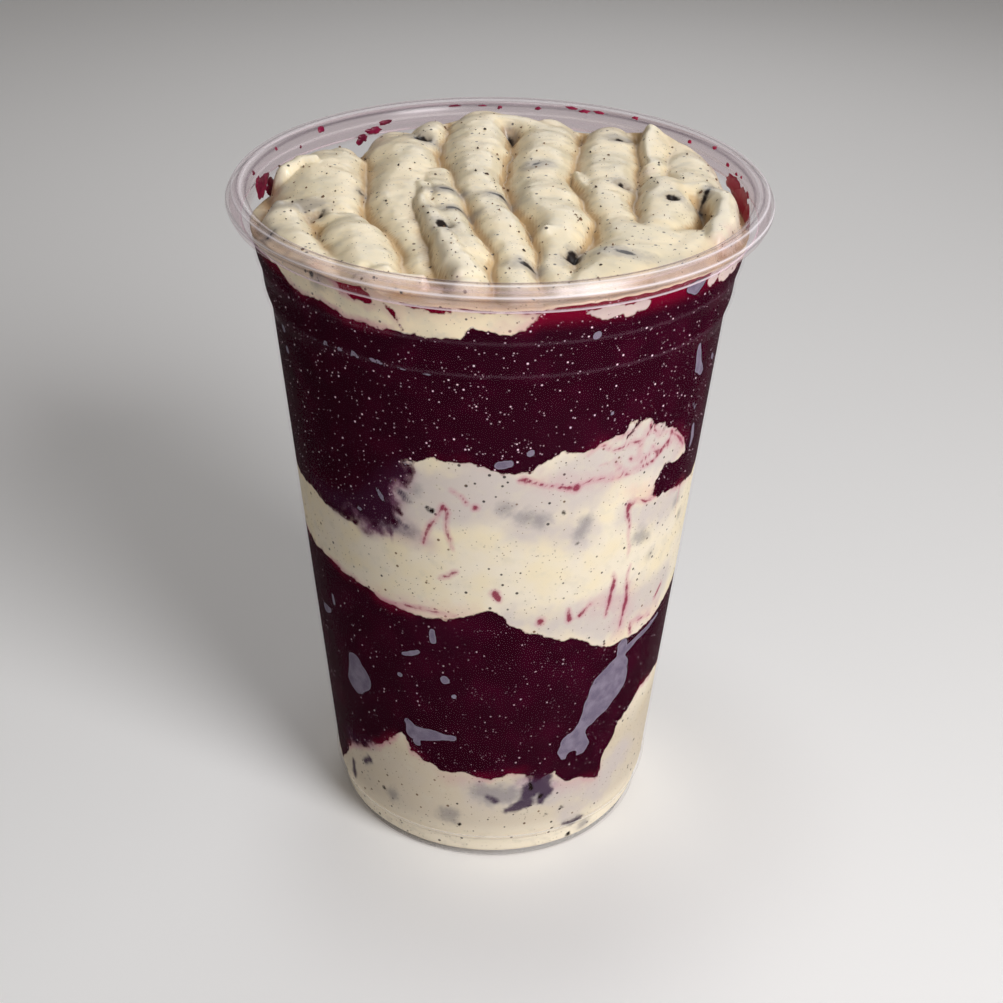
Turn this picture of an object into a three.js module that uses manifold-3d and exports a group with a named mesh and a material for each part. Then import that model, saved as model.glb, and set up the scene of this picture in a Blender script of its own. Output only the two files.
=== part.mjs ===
// A clear half-litre cup filled with layers of acai sorbet and cookie cream.
// Millimetres, +Z up, the origin at the middle of the foot.
// Angles round the cup are in degrees: 0 is the front (-Y), 90 the right (+X).

import * as THREE from 'three';
import { mergeVertices } from 'three/addons/utils/BufferGeometryUtils.js';
import Module from 'manifold-3d';

const wasm = await Module();
wasm.setup();

// Driving dimensions of the cup
const cupHeight = 129.3;
const rimRadius = 47.5;
const footRadius = 30.2;
const footRingWidth = 2.0;
const panelRise = 1.2;
const wall = 0.6;
const shoulderRadius = 32.4;
const shoulderHeight = 8;
const bodyTopRadius = 41.0;
const bodyTopHeight = 108.8;
const neckRadius = 44.1;
const neckHeight = 123.6;
const lipDepth = 5.3;
const crownHeight = 2;

// Clearances
const fillClearance = 0.3;
const layerGap = 0.4;

// Fineness of the round parts and of the piped relief
const roundSteps = 56;
const reliefStepX = 1.7;
const reliefStepY = 3.6;
const creamBlend = 0.8;

// The ropes lean to the right from here to the front, and the relief's columns follow them
const leanStart = 12;
const lean = 0.17;

// Rings of a boundary between two layers, as shares of the radius at the wall
const boundaryRings = [0.6, 0.97, 1.1];
const deepest = -4;
const highest = 134;

const radians = (degrees) => (degrees * Math.PI) / 180;

// Joining and cutting closed meshes
function toSolid(geometry) {
  const bare = geometry.clone();
  bare.deleteAttribute('normal');
  bare.deleteAttribute('uv');
  const merged = mergeVertices(bare, 1e-4);
  return new wasm.Manifold(
    new wasm.Mesh({
      numProp: 3,
      vertProperties: new Float32Array(merged.attributes.position.array),
      triVerts: new Uint32Array(merged.index.array),
    }),
  );
}

function toGeometry(solid) {
  const mesh = solid.getMesh();
  const geometry = new THREE.BufferGeometry();
  geometry.setAttribute('position', new THREE.BufferAttribute(mesh.vertProperties, 3));
  geometry.setIndex(new THREE.BufferAttribute(mesh.triVerts, 1));
  geometry.computeVertexNormals();
  return geometry;
}

// Profiles are lists of [radius, height], turned about the upright axis
function turned(profile) {
  const points = profile.map(([radius, height]) => new THREE.Vector2(radius, height));
  return new THREE.LatheGeometry(points, roundSteps).rotateX(Math.PI / 2);
}

// The outer face of the wall, from the foot ring up to the underside of the lip
const outerWall = [
  [footRadius, 0],
  [footRadius + 0.6, 1.2],
  [footRadius + 1.3, 5.4],
  [shoulderRadius - 0.15, 7],
  [shoulderRadius, shoulderHeight + 2],
  [bodyTopRadius, bodyTopHeight],
  [bodyTopRadius + 1.1, bodyTopHeight + 3],
  [bodyTopRadius + 1.4, bodyTopHeight + 6.9],
  [bodyTopRadius + 2.2, bodyTopHeight + 9.2],
  [neckRadius, neckHeight],
];

const innerWall = outerWall.map(([radius, height]) => [radius - wall, height]);
const floorTop = panelRise + wall;

// The lip is the wall's own edge, rolled outward and down: its crown from the neck to the outside
function lipCrown(depth) {
  const middleRadius = (rimRadius + neckRadius - wall) / 2;
  const halfWidth = (rimRadius - neckRadius + wall) / 2 - depth;
  return [180, 135, 90, 45, 0].map((angle) => [
    middleRadius + halfWidth * Math.cos(radians(angle)),
    cupHeight - crownHeight + (crownHeight - depth) * Math.sin(radians(angle)),
  ]);
}

function cupGeometry() {
  const lipFoot = cupHeight - lipDepth;
  const lipEdge = neckRadius + 0.75;
  return turned([
    [0, panelRise],
    [footRadius - footRingWidth - 0.8, panelRise],
    [footRadius - footRingWidth, 0],
    ...outerWall,
    ...lipCrown(wall),
    [lipEdge, lipFoot + wall],
    [lipEdge, lipFoot],
    [rimRadius - 0.6, lipFoot + 1.4],
    ...lipCrown(0).reverse(),
    ...innerWall.slice(1).reverse(),
    [footRadius - 0.9, floorTop],
    [0, floorTop],
  ]);
}

// The room inside the cup, less the clearance, closed well above the rim
function fillGeometry() {
  const room = innerWall.slice(2).map(([radius, height]) => [radius - fillClearance, height]);
  const base = floorTop + fillClearance;
  return turned([
    [0, base],
    [footRadius - 1.6, base],
    ...room,
    [neckRadius - wall - fillClearance, highest],
    [0, highest],
  ]);
}

// The radius of the fill at a height, for placing the boundaries on the wall
function fillRadius(height) {
  const room = innerWall;
  for (let i = 1; i < room.length; i += 1) {
    const [lowRadius, low] = room[i - 1];
    const [topRadius, top] = room[i];
    if (height <= top) {
      const share = (height - low) / (top - low);
      return lowRadius + (topRadius - lowRadius) * share - fillClearance;
    }
  }
  return neckRadius - wall - fillClearance;
}

// Boundaries between layers, read on the wall as [angle, height], with the height at the axis
const boundaries = {
  lowerAcaiFoot: {
    middle: 24,
    wall: [
      [-70, 10], [-60, 17], [-50, 20], [-40, 24], [-33, 28], [-28, 29.5], [-23, 25], [-10, 22.7],
      [10, 23.4], [22, 21.5], [30, 18.5], [39, 16.5], [44, 23], [50, 30], [57, 33.5], [68, 34],
      [95, 30], [130, 25], [170, 27], [210, 22], [250, 15],
    ],
  },
  middleCreamFoot: {
    middle: 59,
    wall: [
      [-60, 64], [-40, 63], [-30, 60.8], [-15, 60.8], [0, 62.5], [10, 58.5], [22, 55.5],
      [35, 50.5], [50, 50], [68, 53], [100, 58], [140, 62], [180, 57], [220, 60], [260, 65],
    ],
  },
  upperAcaiFoot: {
    middle: 84,
    wall: [
      [-70, 76], [-50, 77], [-34, 77.5], [-28, 82], [-23, 91], [-15, 94.4], [0, 93], [15, 96],
      [28, 97], [35, 99.5], [45, 97], [52, 93], [60, 80], [72, 78], [105, 84], [140, 80],
      [175, 88], [215, 83], [255, 77],
    ],
  },
  topCreamFoot: {
    middle: 113,
    wall: [
      [-60, 121.5], [-45, 120], [-30, 118.5], [-10, 118.4], [0, 119.5], [8, 122], [20, 122.6],
      [40, 122.8], [60, 122], [80, 119], [110, 116], [145, 113.5], [180, 114], [215, 113.5],
      [250, 117], [275, 120],
    ],
  },
};

// A smooth ring of heights through the points, straight from one to the next where they crowd
function wallHeight(points, angle) {
  const turn = 360;
  const first = points[0][0];
  const around = first + ((((angle - first) % turn) + turn) % turn);
  const closed = [...points, [first + turn, points[0][1]]];
  const next = closed.findIndex(([at]) => at > around);
  const [fromAngle, from] = closed[next - 1];
  const [toAngle, to] = closed[next];
  const share = (around - fromAngle) / (toAngle - fromAngle);
  const eased = share * share * (3 - 2 * share);
  return from + (to - from) * (0.5 * share + 0.5 * eased);
}

// Everything below a boundary, as a column wider than the cup
function below(boundary, offset) {
  const positions = [0, 0, deepest, 0, 0, boundary.middle + offset];
  const index = [];
  for (let step = 0; step < roundSteps; step += 1) {
    const angle = (360 * step) / roundSteps;
    const edge = wallHeight(boundary.wall, angle);
    const reach = fillRadius(edge);
    const [x, y] = [Math.sin(radians(angle)), -Math.cos(radians(angle))];
    const outermost = reach * boundaryRings.at(-1);
    positions.push(x * outermost, y * outermost, deepest);
    for (const ring of boundaryRings) {
      const pull = ring < 0.9 ? ring ** 2 : 1;
      const height = boundary.middle + (edge - boundary.middle) * pull + offset;
      positions.push(x * reach * ring, y * reach * ring, height);
    }
  }
  const last = boundaryRings.length;
  const at = (step, ring) => 2 + (step % roundSteps) * (last + 1) + ring;
  for (let step = 0; step < roundSteps; step += 1) {
    index.push(0, at(step + 1, 0), at(step, 0));
    index.push(at(step, 0), at(step + 1, 0), at(step + 1, last));
    index.push(at(step, 0), at(step + 1, last), at(step, last));
    index.push(1, at(step, 1), at(step + 1, 1));
    for (let ring = 1; ring < last; ring += 1) {
      index.push(at(step, ring), at(step, ring + 1), at(step + 1, ring + 1));
      index.push(at(step, ring), at(step + 1, ring + 1), at(step + 1, ring));
    }
  }
  const geometry = new THREE.BufferGeometry();
  geometry.setAttribute('position', new THREE.Float32BufferAttribute(positions, 3));
  geometry.setIndex(index);
  return toSolid(geometry);
}

// The piped cream on top: each rope is a bent path of [x, y, half width, crest height]
const ropes = [
  // Far left, with its lobe along the wall and its front mass
  [[-30, 25, 5, 125.2], [-31, 18, 8, 126.9], [-32, 8, 8.6, 127.4], [-30.5, -2, 8.4, 127],
    [-28, -9, 6.6, 126]],
  [[-36, -4, 5.2, 126.2], [-36.5, -11, 5.6, 126.8], [-34, -20, 5.6, 126.6], [-29.5, -29, 5.6, 126],
    [-25, -36, 4.6, 125]],
  [[-26, -12, 5.4, 126.6], [-24, -19, 7.2, 127.4], [-22, -27, 7.2, 127], [-19, -36, 6.6, 126]],
  // Second, with a small lobe at its back
  [[-20, 33, 6, 126], [-18.5, 27, 7.6, 127.2], [-18, 18, 7.8, 127.4], [-17.5, 8, 7.6, 127.4],
    [-17.5, -2, 6.4, 127], [-16, -12, 5.6, 126.3], [-13.5, -20, 5, 125.8], [-11, -30, 4.6, 125]],
  [[-13.6, 39, 4.6, 126.2], [-14, 33, 5.2, 126.9], [-14, 26, 4.4, 126.4]],
  // Third, a narrow fold that leans over the second
  [[-11.5, 12, 3.8, 126.6], [-10.5, 0, 5, 127.6], [-9.5, -10, 5, 127.8], [-7, -20, 4.9, 127.8],
    [-5, -28, 4.6, 127.4], [-4.5, -38, 4.4, 126.4]],
  // Fourth, the highest at the back wall, with a fold across to the fifth
  [[-4, 42, 6.6, 127.6], [-4.4, 32, 7.2, 127.9], [-4.6, 20, 6.8, 127.6], [-4.7, 10, 6, 127.4],
    [-3.4, 0, 5.4, 127.3], [-0.9, -10, 5.3, 127.3], [1.4, -20, 5.2, 127.1], [2.6, -30, 5, 126.6],
    [3, -39, 5, 125.8]],
  [[-2, 42, 5, 127.5], [4, 39.5, 4.4, 127.3], [9, 35, 4, 127]],
  // Fifth
  [[9.6, 39, 6, 126.8], [9, 30, 7, 127.5], [7.8, 20, 6.8, 127.4], [6.8, 10, 7, 127.3], [8, 0, 7.2, 127.5],
    [10, -9, 6.8, 127.4], [10.3, -16, 5.8, 126.9], [9, -25, 4.4, 126], [9.5, -37, 4, 125]],
  // Sixth
  [[21, 37, 6, 126.4], [20.6, 28, 7.4, 127.1], [19.8, 19, 7.6, 127.2], [19, 9, 7, 127.1],
    [18.8, -1, 5.8, 126.9], [20, -10, 5.6, 126.7], [22, -18, 6, 126.7]],
  // Right: the tall drawn peak, the second peak, the round bump and the outer fold
  [[27, 38.5, 1.3, 129.7], [27.6, 35, 2.2, 129], [28.4, 28, 3.4, 128.1], [28, 17, 3.8, 127.4],
    [27.5, 9, 3.8, 126.8]],
  [[34.5, 30, 4, 127], [34, 24, 5.8, 127], [34.6, 15, 6.2, 127.2], [34, 5, 6.6, 127.4]],
  [[28.7, 5, 5.6, 128.1], [29, -2, 6, 128], [28, -11, 6, 127.2]],
  [[36, 4, 4.2, 127.4], [38.4, -2, 3, 128.3], [38.4, -9, 3.2, 128.3], [36, -18, 3.6, 127.7]],
  // Front right dome
  [[26, -17, 8, 126.9], [20, -26, 9, 127.2], [14, -35, 6.6, 126]],
  [[33, -17, 7, 126.6], [27, -28, 7.4, 126]],
];
const ropeDrop = 5.4;
const ropeRound = 3.4;

// The lowest cream between ropes: deep at the back wall, nearly level with the crests in front
const floorBack = 119.8;
const floorFront = 124.2;

function creamFloor(y) {
  const share = THREE.MathUtils.smoothstep(-y, -30, 30);
  return floorBack + (floorFront - floorBack) * share;
}

function ropeHeight(rope, x, y) {
  let best = -Infinity;
  for (let i = 1; i < rope.length; i += 1) {
    const [x0, y0, width0, crest0] = rope[i - 1];
    const [x1, y1, width1, crest1] = rope[i];
    const [alongX, alongY] = [x1 - x0, y1 - y0];
    const along = ((x - x0) * alongX + (y - y0) * alongY) / (alongX ** 2 + alongY ** 2);
    const share = THREE.MathUtils.clamp(along, 0, 1);
    const distance = Math.hypot(x - x0 - alongX * share, y - y0 - alongY * share);
    const width = width0 + (width1 - width0) * share;
    const crest = crest0 + (crest1 - crest0) * share;
    best = Math.max(best, crest - ropeDrop * (distance / width) ** ropeRound);
  }
  return best;
}

// Ropes run into each other with a narrow rounded valley
function creamHeight(x, y) {
  let sum = Math.exp(creamFloor(y) / creamBlend - highest / creamBlend);
  for (const rope of ropes) {
    sum += Math.exp((ropeHeight(rope, x, y) - highest) / creamBlend);
  }
  return highest + creamBlend * Math.log(sum);
}

// A block whose top is the piped surface
function reliefBlock() {
  const depth = 2 * rimRadius;
  const width = depth + 2 * lean * (leanStart + rimRadius);
  const columns = Math.round(width / reliefStepX);
  const rows = Math.round(depth / reliefStepY);
  const bottom = boundaries.topCreamFoot.middle - 20;
  const block = new THREE.BoxGeometry(width, depth, 1, columns, rows, 1);
  const position = block.attributes.position;
  for (let i = 0; i < position.count; i += 1) {
    const y = position.getY(i);
    const x = position.getX(i) + lean * Math.max(0, leanStart - y);
    position.setX(i, x);
    position.setZ(i, position.getZ(i) > 0 ? creamHeight(x, y) : bottom);
  }
  return toSolid(block);
}

// Cookie flakes set in the cream: [x, y, half length, half width, turn]
const flakes = [
  [-34.5, -7, 3.2, 2, 20], [-31, -10.5, 1.6, 0.9, 60], [-14.6, 28.5, 2, 1.3, 100], [-10, -2, 1.9, 1.5, 10],
  [-8, -10.3, 1.9, 1.2, 30], [-9.3, -18.7, 2.4, 0.9, 115], [1.2, 31, 2.2, 1.3, 110], [4.5, -30, 1.6, 1, 20],
  [6.4, 13.6, 2, 1.2, 60], [22.8, 29.5, 2.2, 1.8, 80], [22.6, 7.4, 2, 1, 100], [1.4, -1.8, 1.9, 1, 150],
  [19.5, -27.4, 1.8, 1.1, 160], [-24.5, 2, 1.3, 0.8, 70], [12, -25, 1.7, 0.9, 70], [-38, -18.8, 1.4, 0.8, 30],
];
const flakeThickness = 0.9;
const flakeSink = 0.42;

function flake([x, y, halfLength, halfWidth, turn]) {
  const shape = new THREE.IcosahedronGeometry(1, 0);
  shape.scale(halfLength, halfWidth, flakeThickness);
  shape.rotateZ(radians(turn));
  shape.translate(x, y, creamHeight(x, y) - flakeSink);
  return toSolid(shape);
}

// The layers, from the foot up
const fill = toSolid(fillGeometry());

function layer(lower, upper) {
  const capped = fill.intersect(below(upper, -layerGap / 2));
  return lower ? capped.subtract(below(lower, layerGap / 2)) : capped;
}

function topCream() {
  let piped = reliefBlock();
  for (const spot of flakes) {
    piped = piped.add(flake(spot));
  }
  return fill.intersect(piped).subtract(below(boundaries.topCreamFoot, layerGap / 2));
}

const clearPlastic = new THREE.MeshStandardMaterial({
  color: 0xe8e6ea,
  roughness: 0.12,
  metalness: 0,
  transparent: true,
  opacity: 0.3,
});
const acai = new THREE.MeshStandardMaterial({ color: 0x2a0615, roughness: 0.45, metalness: 0 });
const cream = new THREE.MeshStandardMaterial({ color: 0xe9dcbf, roughness: 0.5, metalness: 0 });

function named(name, geometry, material) {
  const mesh = new THREE.Mesh(geometry, material);
  mesh.name = name;
  return mesh;
}

const { lowerAcaiFoot, middleCreamFoot, upperAcaiFoot, topCreamFoot } = boundaries;
const acaiCup = new THREE.Group();
acaiCup.add(named('cup', cupGeometry(), clearPlastic));
acaiCup.add(named('cream_bottom', toGeometry(layer(null, lowerAcaiFoot)), cream));
acaiCup.add(named('acai_lower', toGeometry(layer(lowerAcaiFoot, middleCreamFoot)), acai));
acaiCup.add(named('cream_middle', toGeometry(layer(middleCreamFoot, upperAcaiFoot)), cream));
acaiCup.add(named('acai_upper', toGeometry(layer(upperAcaiFoot, topCreamFoot)), acai));
acaiCup.add(named('cream_top', toGeometry(topCream()), cream));

export default acaiCup;
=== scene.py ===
"""A clear cup filled with layers of acai sorbet and cookie cream, dressed for rendering.

Lengths here are millimetres, turned to metres where a mesh is made, and only the materials' noise
scales and heights are in metres. Places on the wall are (angle, height): the angle is in degrees,
0 at the front (-Y) and 90 at the right (+X).
"""

import math
import random

import bmesh
import bpy
import numpy as np
from mathutils import Euler, Matrix, Vector, noise


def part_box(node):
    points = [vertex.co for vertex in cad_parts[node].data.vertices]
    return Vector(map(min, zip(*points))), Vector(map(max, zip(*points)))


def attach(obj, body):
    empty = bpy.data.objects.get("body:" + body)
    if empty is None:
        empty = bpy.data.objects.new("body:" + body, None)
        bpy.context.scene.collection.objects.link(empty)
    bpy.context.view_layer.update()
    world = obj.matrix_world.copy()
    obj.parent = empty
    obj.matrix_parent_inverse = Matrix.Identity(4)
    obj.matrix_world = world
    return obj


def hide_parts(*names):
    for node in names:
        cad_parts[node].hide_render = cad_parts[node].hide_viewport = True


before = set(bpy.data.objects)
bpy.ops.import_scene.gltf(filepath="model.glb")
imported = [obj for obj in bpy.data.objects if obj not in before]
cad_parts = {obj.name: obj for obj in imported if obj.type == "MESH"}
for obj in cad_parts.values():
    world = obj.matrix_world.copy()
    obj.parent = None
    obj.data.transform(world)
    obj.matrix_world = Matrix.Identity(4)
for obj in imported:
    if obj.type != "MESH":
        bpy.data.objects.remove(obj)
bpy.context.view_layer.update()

MM = 0.001
BODY = "root"

# Sizes of the cup, from the frame and as in the solids
_, cup_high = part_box("cup")
CUP_HEIGHT = cup_high[2] / MM
RIM_RADIUS = cup_high[0] / MM
FOOT_RADIUS = 30.2
PANEL_RISE = 1.2
WALL = 0.6
SHOULDER_RADIUS = 32.4
BODY_TOP_RADIUS = 41.0
BODY_TOP_HEIGHT = 108.8
NECK_RADIUS = 44.1
NECK_HEIGHT = 123.6
LIP_FOOT = CUP_HEIGHT - 5.3
CROWN_HEIGHT = 2.0

# The filling reaches this far into the wall, so that no air gap shows
REACH = 0.15
COLUMNS = 640
ROW_STEP = 0.55

ANGLES = np.arange(COLUMNS) * 360 / COLUMNS
TURNS = np.radians(ANGLES)


# Meshes

def finish_piece(piece, replaced=()):
    """Ties a piece to the cup's body and hides the nodes that it stands for."""
    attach(piece, BODY)
    if replaced:
        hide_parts(*replaced)


def make_mesh(name, points, faces, material, smooth=True):
    """A piece with one material, from points in millimetres."""
    mesh = bpy.data.meshes.new(name)
    mesh.from_pydata(np.asarray(points) * MM, [], faces)
    mesh.polygons.foreach_set("use_smooth", [smooth] * len(mesh.polygons))
    mesh.materials.append(material)
    mesh.update()
    piece = bpy.data.objects.new(name, mesh)
    bpy.context.collection.objects.link(piece)
    return piece


def add_fields(piece, fields):
    """Stores each field's number at each vertex, for the material to read."""
    for name, values in fields.items():
        attribute = piece.data.attributes.new(name, "FLOAT", "POINT")
        attribute.data.foreach_set("value", np.asarray(values, dtype=np.float32))


def ring(radius, height, turns=TURNS):
    """A closed ring of points round the axis. Radius and height may differ from column to column."""
    radius = np.broadcast_to(radius, turns.shape)
    height = np.broadcast_to(height, turns.shape)
    return np.stack([radius * np.sin(turns), -radius * np.cos(turns), height], axis=1)


def sharpen(piece, columns, corner_rings):
    """Marks the edges that run along the given rings as sharp."""
    mesh = piece.data
    ends = np.empty(len(mesh.edges) * 2, dtype=np.int32)
    mesh.edges.foreach_get("vertices", ends)
    ring_of = (ends.reshape(-1, 2) - 1) // columns
    sharp = (ring_of[:, 0] == ring_of[:, 1]) & np.isin(ring_of[:, 0], corner_rings)
    attribute = mesh.attributes.new("sharp_edge", "BOOLEAN", "EDGE")
    attribute.data.foreach_set("value", sharp)


def turned_piece(name, rings, first_height, last_height, material):
    """A closed skin through the rings, shut by a fan at each end on the axis, and its points."""
    columns = len(rings[0])
    points = np.concatenate([[(0, 0, first_height)], *rings, [(0, 0, last_height)]])
    faces = []
    last = len(points) - 1
    following = (np.arange(columns) + 1) % columns
    for column in range(columns):
        faces.append((0, 1 + following[column], 1 + column))
    for row in range(len(rings) - 1):
        low = 1 + row * columns
        high = low + columns
        strip = np.stack(
            [low + np.arange(columns), low + following, high + following, high + np.arange(columns)], axis=1
        )
        faces.extend(strip.tolist())
    top = last - columns
    for column in range(columns):
        faces.append((top + column, top + following[column], last))
    return make_mesh(name, points, faces, material), points


def joined(name, parts, material, smooth=True):
    """One mesh of many parts, each given as points and faces."""
    points, faces = [], []
    start = 0
    for part_points, part_faces in parts:
        points.append(part_points)
        faces.extend([[start + i for i in face] for face in part_faces])
        start += len(part_points)
    return make_mesh(name, np.concatenate(points), faces, material, smooth)


def ripple(points, size, seed=0.0):
    """Smooth noise of about -1 to 1, with bumps about as wide as size."""
    shift = Vector((seed * 17.3, seed * 5.9, seed * 31.7))
    return np.array([noise.noise(Vector(p) / size + shift) for p in points])


def smoothstep(low, high, value):
    """A smooth 0 to 1 as value goes from low to high."""
    share = np.clip((value - low) / (high - low), 0, 1)
    return share * share * (3 - 2 * share)


# The cup's profile

def rounded(corners, steps=4):
    """The corners (radius, height, bend) as a path, each bend a short curve that long on both sides."""
    path = []
    for i, (radius, height, bend) in enumerate(corners):
        here = np.array((radius, height))
        if bend == 0:
            path.append(here)
            continue
        before = np.array(corners[i - 1][:2]) - here
        after = np.array(corners[i + 1][:2]) - here
        start = before * min(0.5, bend / np.linalg.norm(before))
        end = after * min(0.5, bend / np.linalg.norm(after))
        for t in np.linspace(0, 1, steps + 1):
            path.append(here + (1 - t) ** 2 * start + t * t * end)
    return path


OUTER_WALL = [
    (FOOT_RADIUS, 0, 0.5),
    (FOOT_RADIUS + 0.6, 1.2, 0.8),
    (FOOT_RADIUS + 1.3, 5.4, 0.4),
    (SHOULDER_RADIUS - 0.15, 7, 0.4),
    (SHOULDER_RADIUS, 10, 1.0),
    (BODY_TOP_RADIUS, BODY_TOP_HEIGHT, 0.5),
    (BODY_TOP_RADIUS + 1.1, BODY_TOP_HEIGHT + 3, 0.9),
    (BODY_TOP_RADIUS + 1.4, BODY_TOP_HEIGHT + 6.9, 0.5),
    (BODY_TOP_RADIUS + 2.2, BODY_TOP_HEIGHT + 9.2, 0.9),
    (NECK_RADIUS, NECK_HEIGHT, 0.8),
]
INNER_WALL = [(radius - WALL, height, bend) for radius, height, bend in OUTER_WALL]
FLOOR_TOP = PANEL_RISE + WALL


def lip_crown(depth):
    """The crown of the lip from its inner side to its outer side, moved inwards by depth."""
    inner, outer = NECK_RADIUS - WALL + depth, RIM_RADIUS - depth
    top = CUP_HEIGHT - depth
    return [
        (inner, top - 2.0, 0.5),
        (inner + 0.35, top - 0.75, 0.5),
        (inner + 1.5, top, 0.7),
        (outer - 1.1, top, 0.3),
        (outer - 0.1, top - 1.6, 0.3),
        (outer, top - 2.2 + depth, 0.3),
    ]


def cup_profile():
    """The section through the plastic, from under the foot out, up over the lip and back down inside."""
    lip_edge = NECK_RADIUS + 0.75
    corners = [
        (FOOT_RADIUS - 2.8, PANEL_RISE, 0.6),
        (FOOT_RADIUS - 2, 0, 0.3),
        *OUTER_WALL,
        *lip_crown(WALL),
        (RIM_RADIUS - 1.25, LIP_FOOT + 1.9, 0.6),
        (lip_edge, LIP_FOOT + WALL, 0.1),
        (lip_edge, LIP_FOOT, 0.2),
        (RIM_RADIUS - 0.6, LIP_FOOT + 1.4, 0.8),
        *reversed(lip_crown(0)),
        *reversed(INNER_WALL[1:]),
        (FOOT_RADIUS - 0.9, FLOOR_TOP, 0.5),
        (0, FLOOR_TOP, 0),
    ]
    path = rounded([(0, PANEL_RISE, 0), *corners])
    return path[1:-1]


# Bends of the plastic where a painted highlight or a painted dark line runs: (radius, height, half width,
# strength)
CUP_LINES = [
    (NECK_RADIUS - 0.15, CUP_HEIGHT - 0.75, 0.26, -0.55),
    (NECK_RADIUS + 0.7, CUP_HEIGHT - 0.1, 0.3, 0.5),
    (NECK_RADIUS + 1.35, CUP_HEIGHT, 0.2, -0.5),
    (RIM_RADIUS - 1.1, CUP_HEIGHT, 0.22, 0.85),
    (RIM_RADIUS - 0.1, CUP_HEIGHT - 1.6, 0.2, 0.85),
    (RIM_RADIUS, CUP_HEIGHT - 2.2, 0.2, -0.4),
    (NECK_RADIUS + 0.75, LIP_FOOT + 0.15, 0.24, 0.9),
    (RIM_RADIUS - 1.1, LIP_FOOT + 1.2, 0.2, 0.3),
    (NECK_RADIUS - WALL, CUP_HEIGHT - 2.4, 0.22, 0.45),
    (BODY_TOP_RADIUS + 1.1, BODY_TOP_HEIGHT + 3, 0.32, 0.05),
    (BODY_TOP_RADIUS + 2.2, BODY_TOP_HEIGHT + 9.2, 0.32, 0.05),
    (SHOULDER_RADIUS - 0.15, 7, 0.2, 0.7),
    (FOOT_RADIUS + 1.5, 6.2, 0.25, -0.35),
    (FOOT_RADIUS + 0.2, 0.6, 0.3, 0.35),
]


def with_lines(path):
    """The path with more points near the lines, and the lines' strength at each point."""
    points = [path[0]]
    spots = np.array([line[:2] for line in CUP_LINES])
    for start, end in zip(path, path[1:]):
        length = float(np.linalg.norm(end - start))
        shares = np.linspace(0, 1, max(1, int(length / 0.14)) + 1)[1:]
        steps = start + shares[:, None] * (end - start)
        near = np.min(np.linalg.norm(steps[:, None] - spots, axis=2), axis=1) < 0.6
        points.extend(step for step, kept in zip(steps[:-1], near) if kept)
        points.append(end)
    points = np.array(points)
    strength = np.zeros(len(points))
    for radius, height, half_width, most in CUP_LINES:
        away = np.hypot(points[:, 0] - radius, points[:, 1] - height) / half_width
        strength += most * np.exp(-away ** 2)
    return points, strength


INNER_PATH = np.array(rounded([(*INNER_WALL[1][:2], 0), *INNER_WALL[2:-1], (*INNER_WALL[-1][:2], 0)]))


def inner_face(height):
    """The radius of the cup's inner face, up over the crown of the lip."""
    rise = np.clip((np.asarray(height) - CUP_HEIGHT + CROWN_HEIGHT) / CROWN_HEIGHT, 0, 1)
    crown = (RIM_RADIUS - NECK_RADIUS + WALL) / 2 * (1 - np.sqrt(1 - rise * rise))
    return np.interp(height, INNER_PATH[:, 1], INNER_PATH[:, 0]) + crown


def filling_radius(height):
    """Where the filling ends at a height: a little way into the wall, with the wall's bends eased."""
    height = np.asarray(height, dtype=float)
    eased = [np.interp(height + up, INNER_PATH[:, 1], INNER_PATH[:, 0]) for up in (-1.2, -0.6, 0, 0.6, 1.2)]
    return np.mean(eased, axis=0) + REACH


# The layers. Each boundary is read on the wall as (angle, height), with its height at the axis.

LOWER_ACAI_FOOT = (24, [
    (-70, 9), (-64, 12.5), (-58, 17.5), (-50, 20.5), (-40, 23.8), (-36, 26.5), (-32, 29.3), (-30, 30.6),
    (-28, 29), (-26.5, 26.6), (-23, 25), (-20, 24.6), (-17, 23.2), (-8, 23.4), (0, 22.2), (6, 23.4),
    (12, 23.4), (18, 21.8), (22, 22.3), (24, 20.3), (26, 19), (33, 18.6), (39, 16.3), (40.6, 17),
    (41.6, 22.3), (45, 25), (46.5, 28), (52, 31), (58, 33.5), (68, 33.8),
    (95, 30), (130, 25), (170, 27), (210, 22), (250, 15),
])
MIDDLE_CREAM_FOOT = (59, [
    (-70, 63.5), (-52, 64), (-41, 63), (-34, 61.3), (-30, 60.7), (-18, 60.4), (-12, 60.7), (-8, 61.8),
    (-4, 63), (0, 63.2), (3, 62.3), (4.5, 60.5), (10, 58.2), (15, 57), (25, 54.8), (34, 51.3), (38, 49.8),
    (42, 50), (52, 50.2), (58, 50.8), (68, 52.8), (100, 58), (140, 62), (180, 57), (220, 60), (260, 65),
])
UPPER_ACAI_FOOT = (84, [
    (-70, 77), (-60, 77.5), (-52, 76.8), (-40, 76.2), (-36, 76.5), (-33, 78), (-30, 81), (-28, 82.7),
    (-27.5, 86), (-26, 88.5), (-23, 91.5), (-22, 93), (-19, 93.6), (-17, 94.4), (-10, 94.2), (-6, 94.6),
    (0, 93), (2, 92.3), (7, 92.8), (12, 94.3), (14, 95.6), (17, 96.2), (22, 95.2), (24, 95.8), (26, 97),
    (33, 97.8), (34.5, 99.5), (40, 99.5), (41.5, 98), (43, 96.7), (46, 96), (50, 94.8), (53, 92.8),
    (56, 91), (59, 89), (60.3, 87.5), (61.3, 79.2), (65, 79), (72, 78), (105, 84), (140, 80),
    (175, 88), (215, 83), (255, 77),
])
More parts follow.
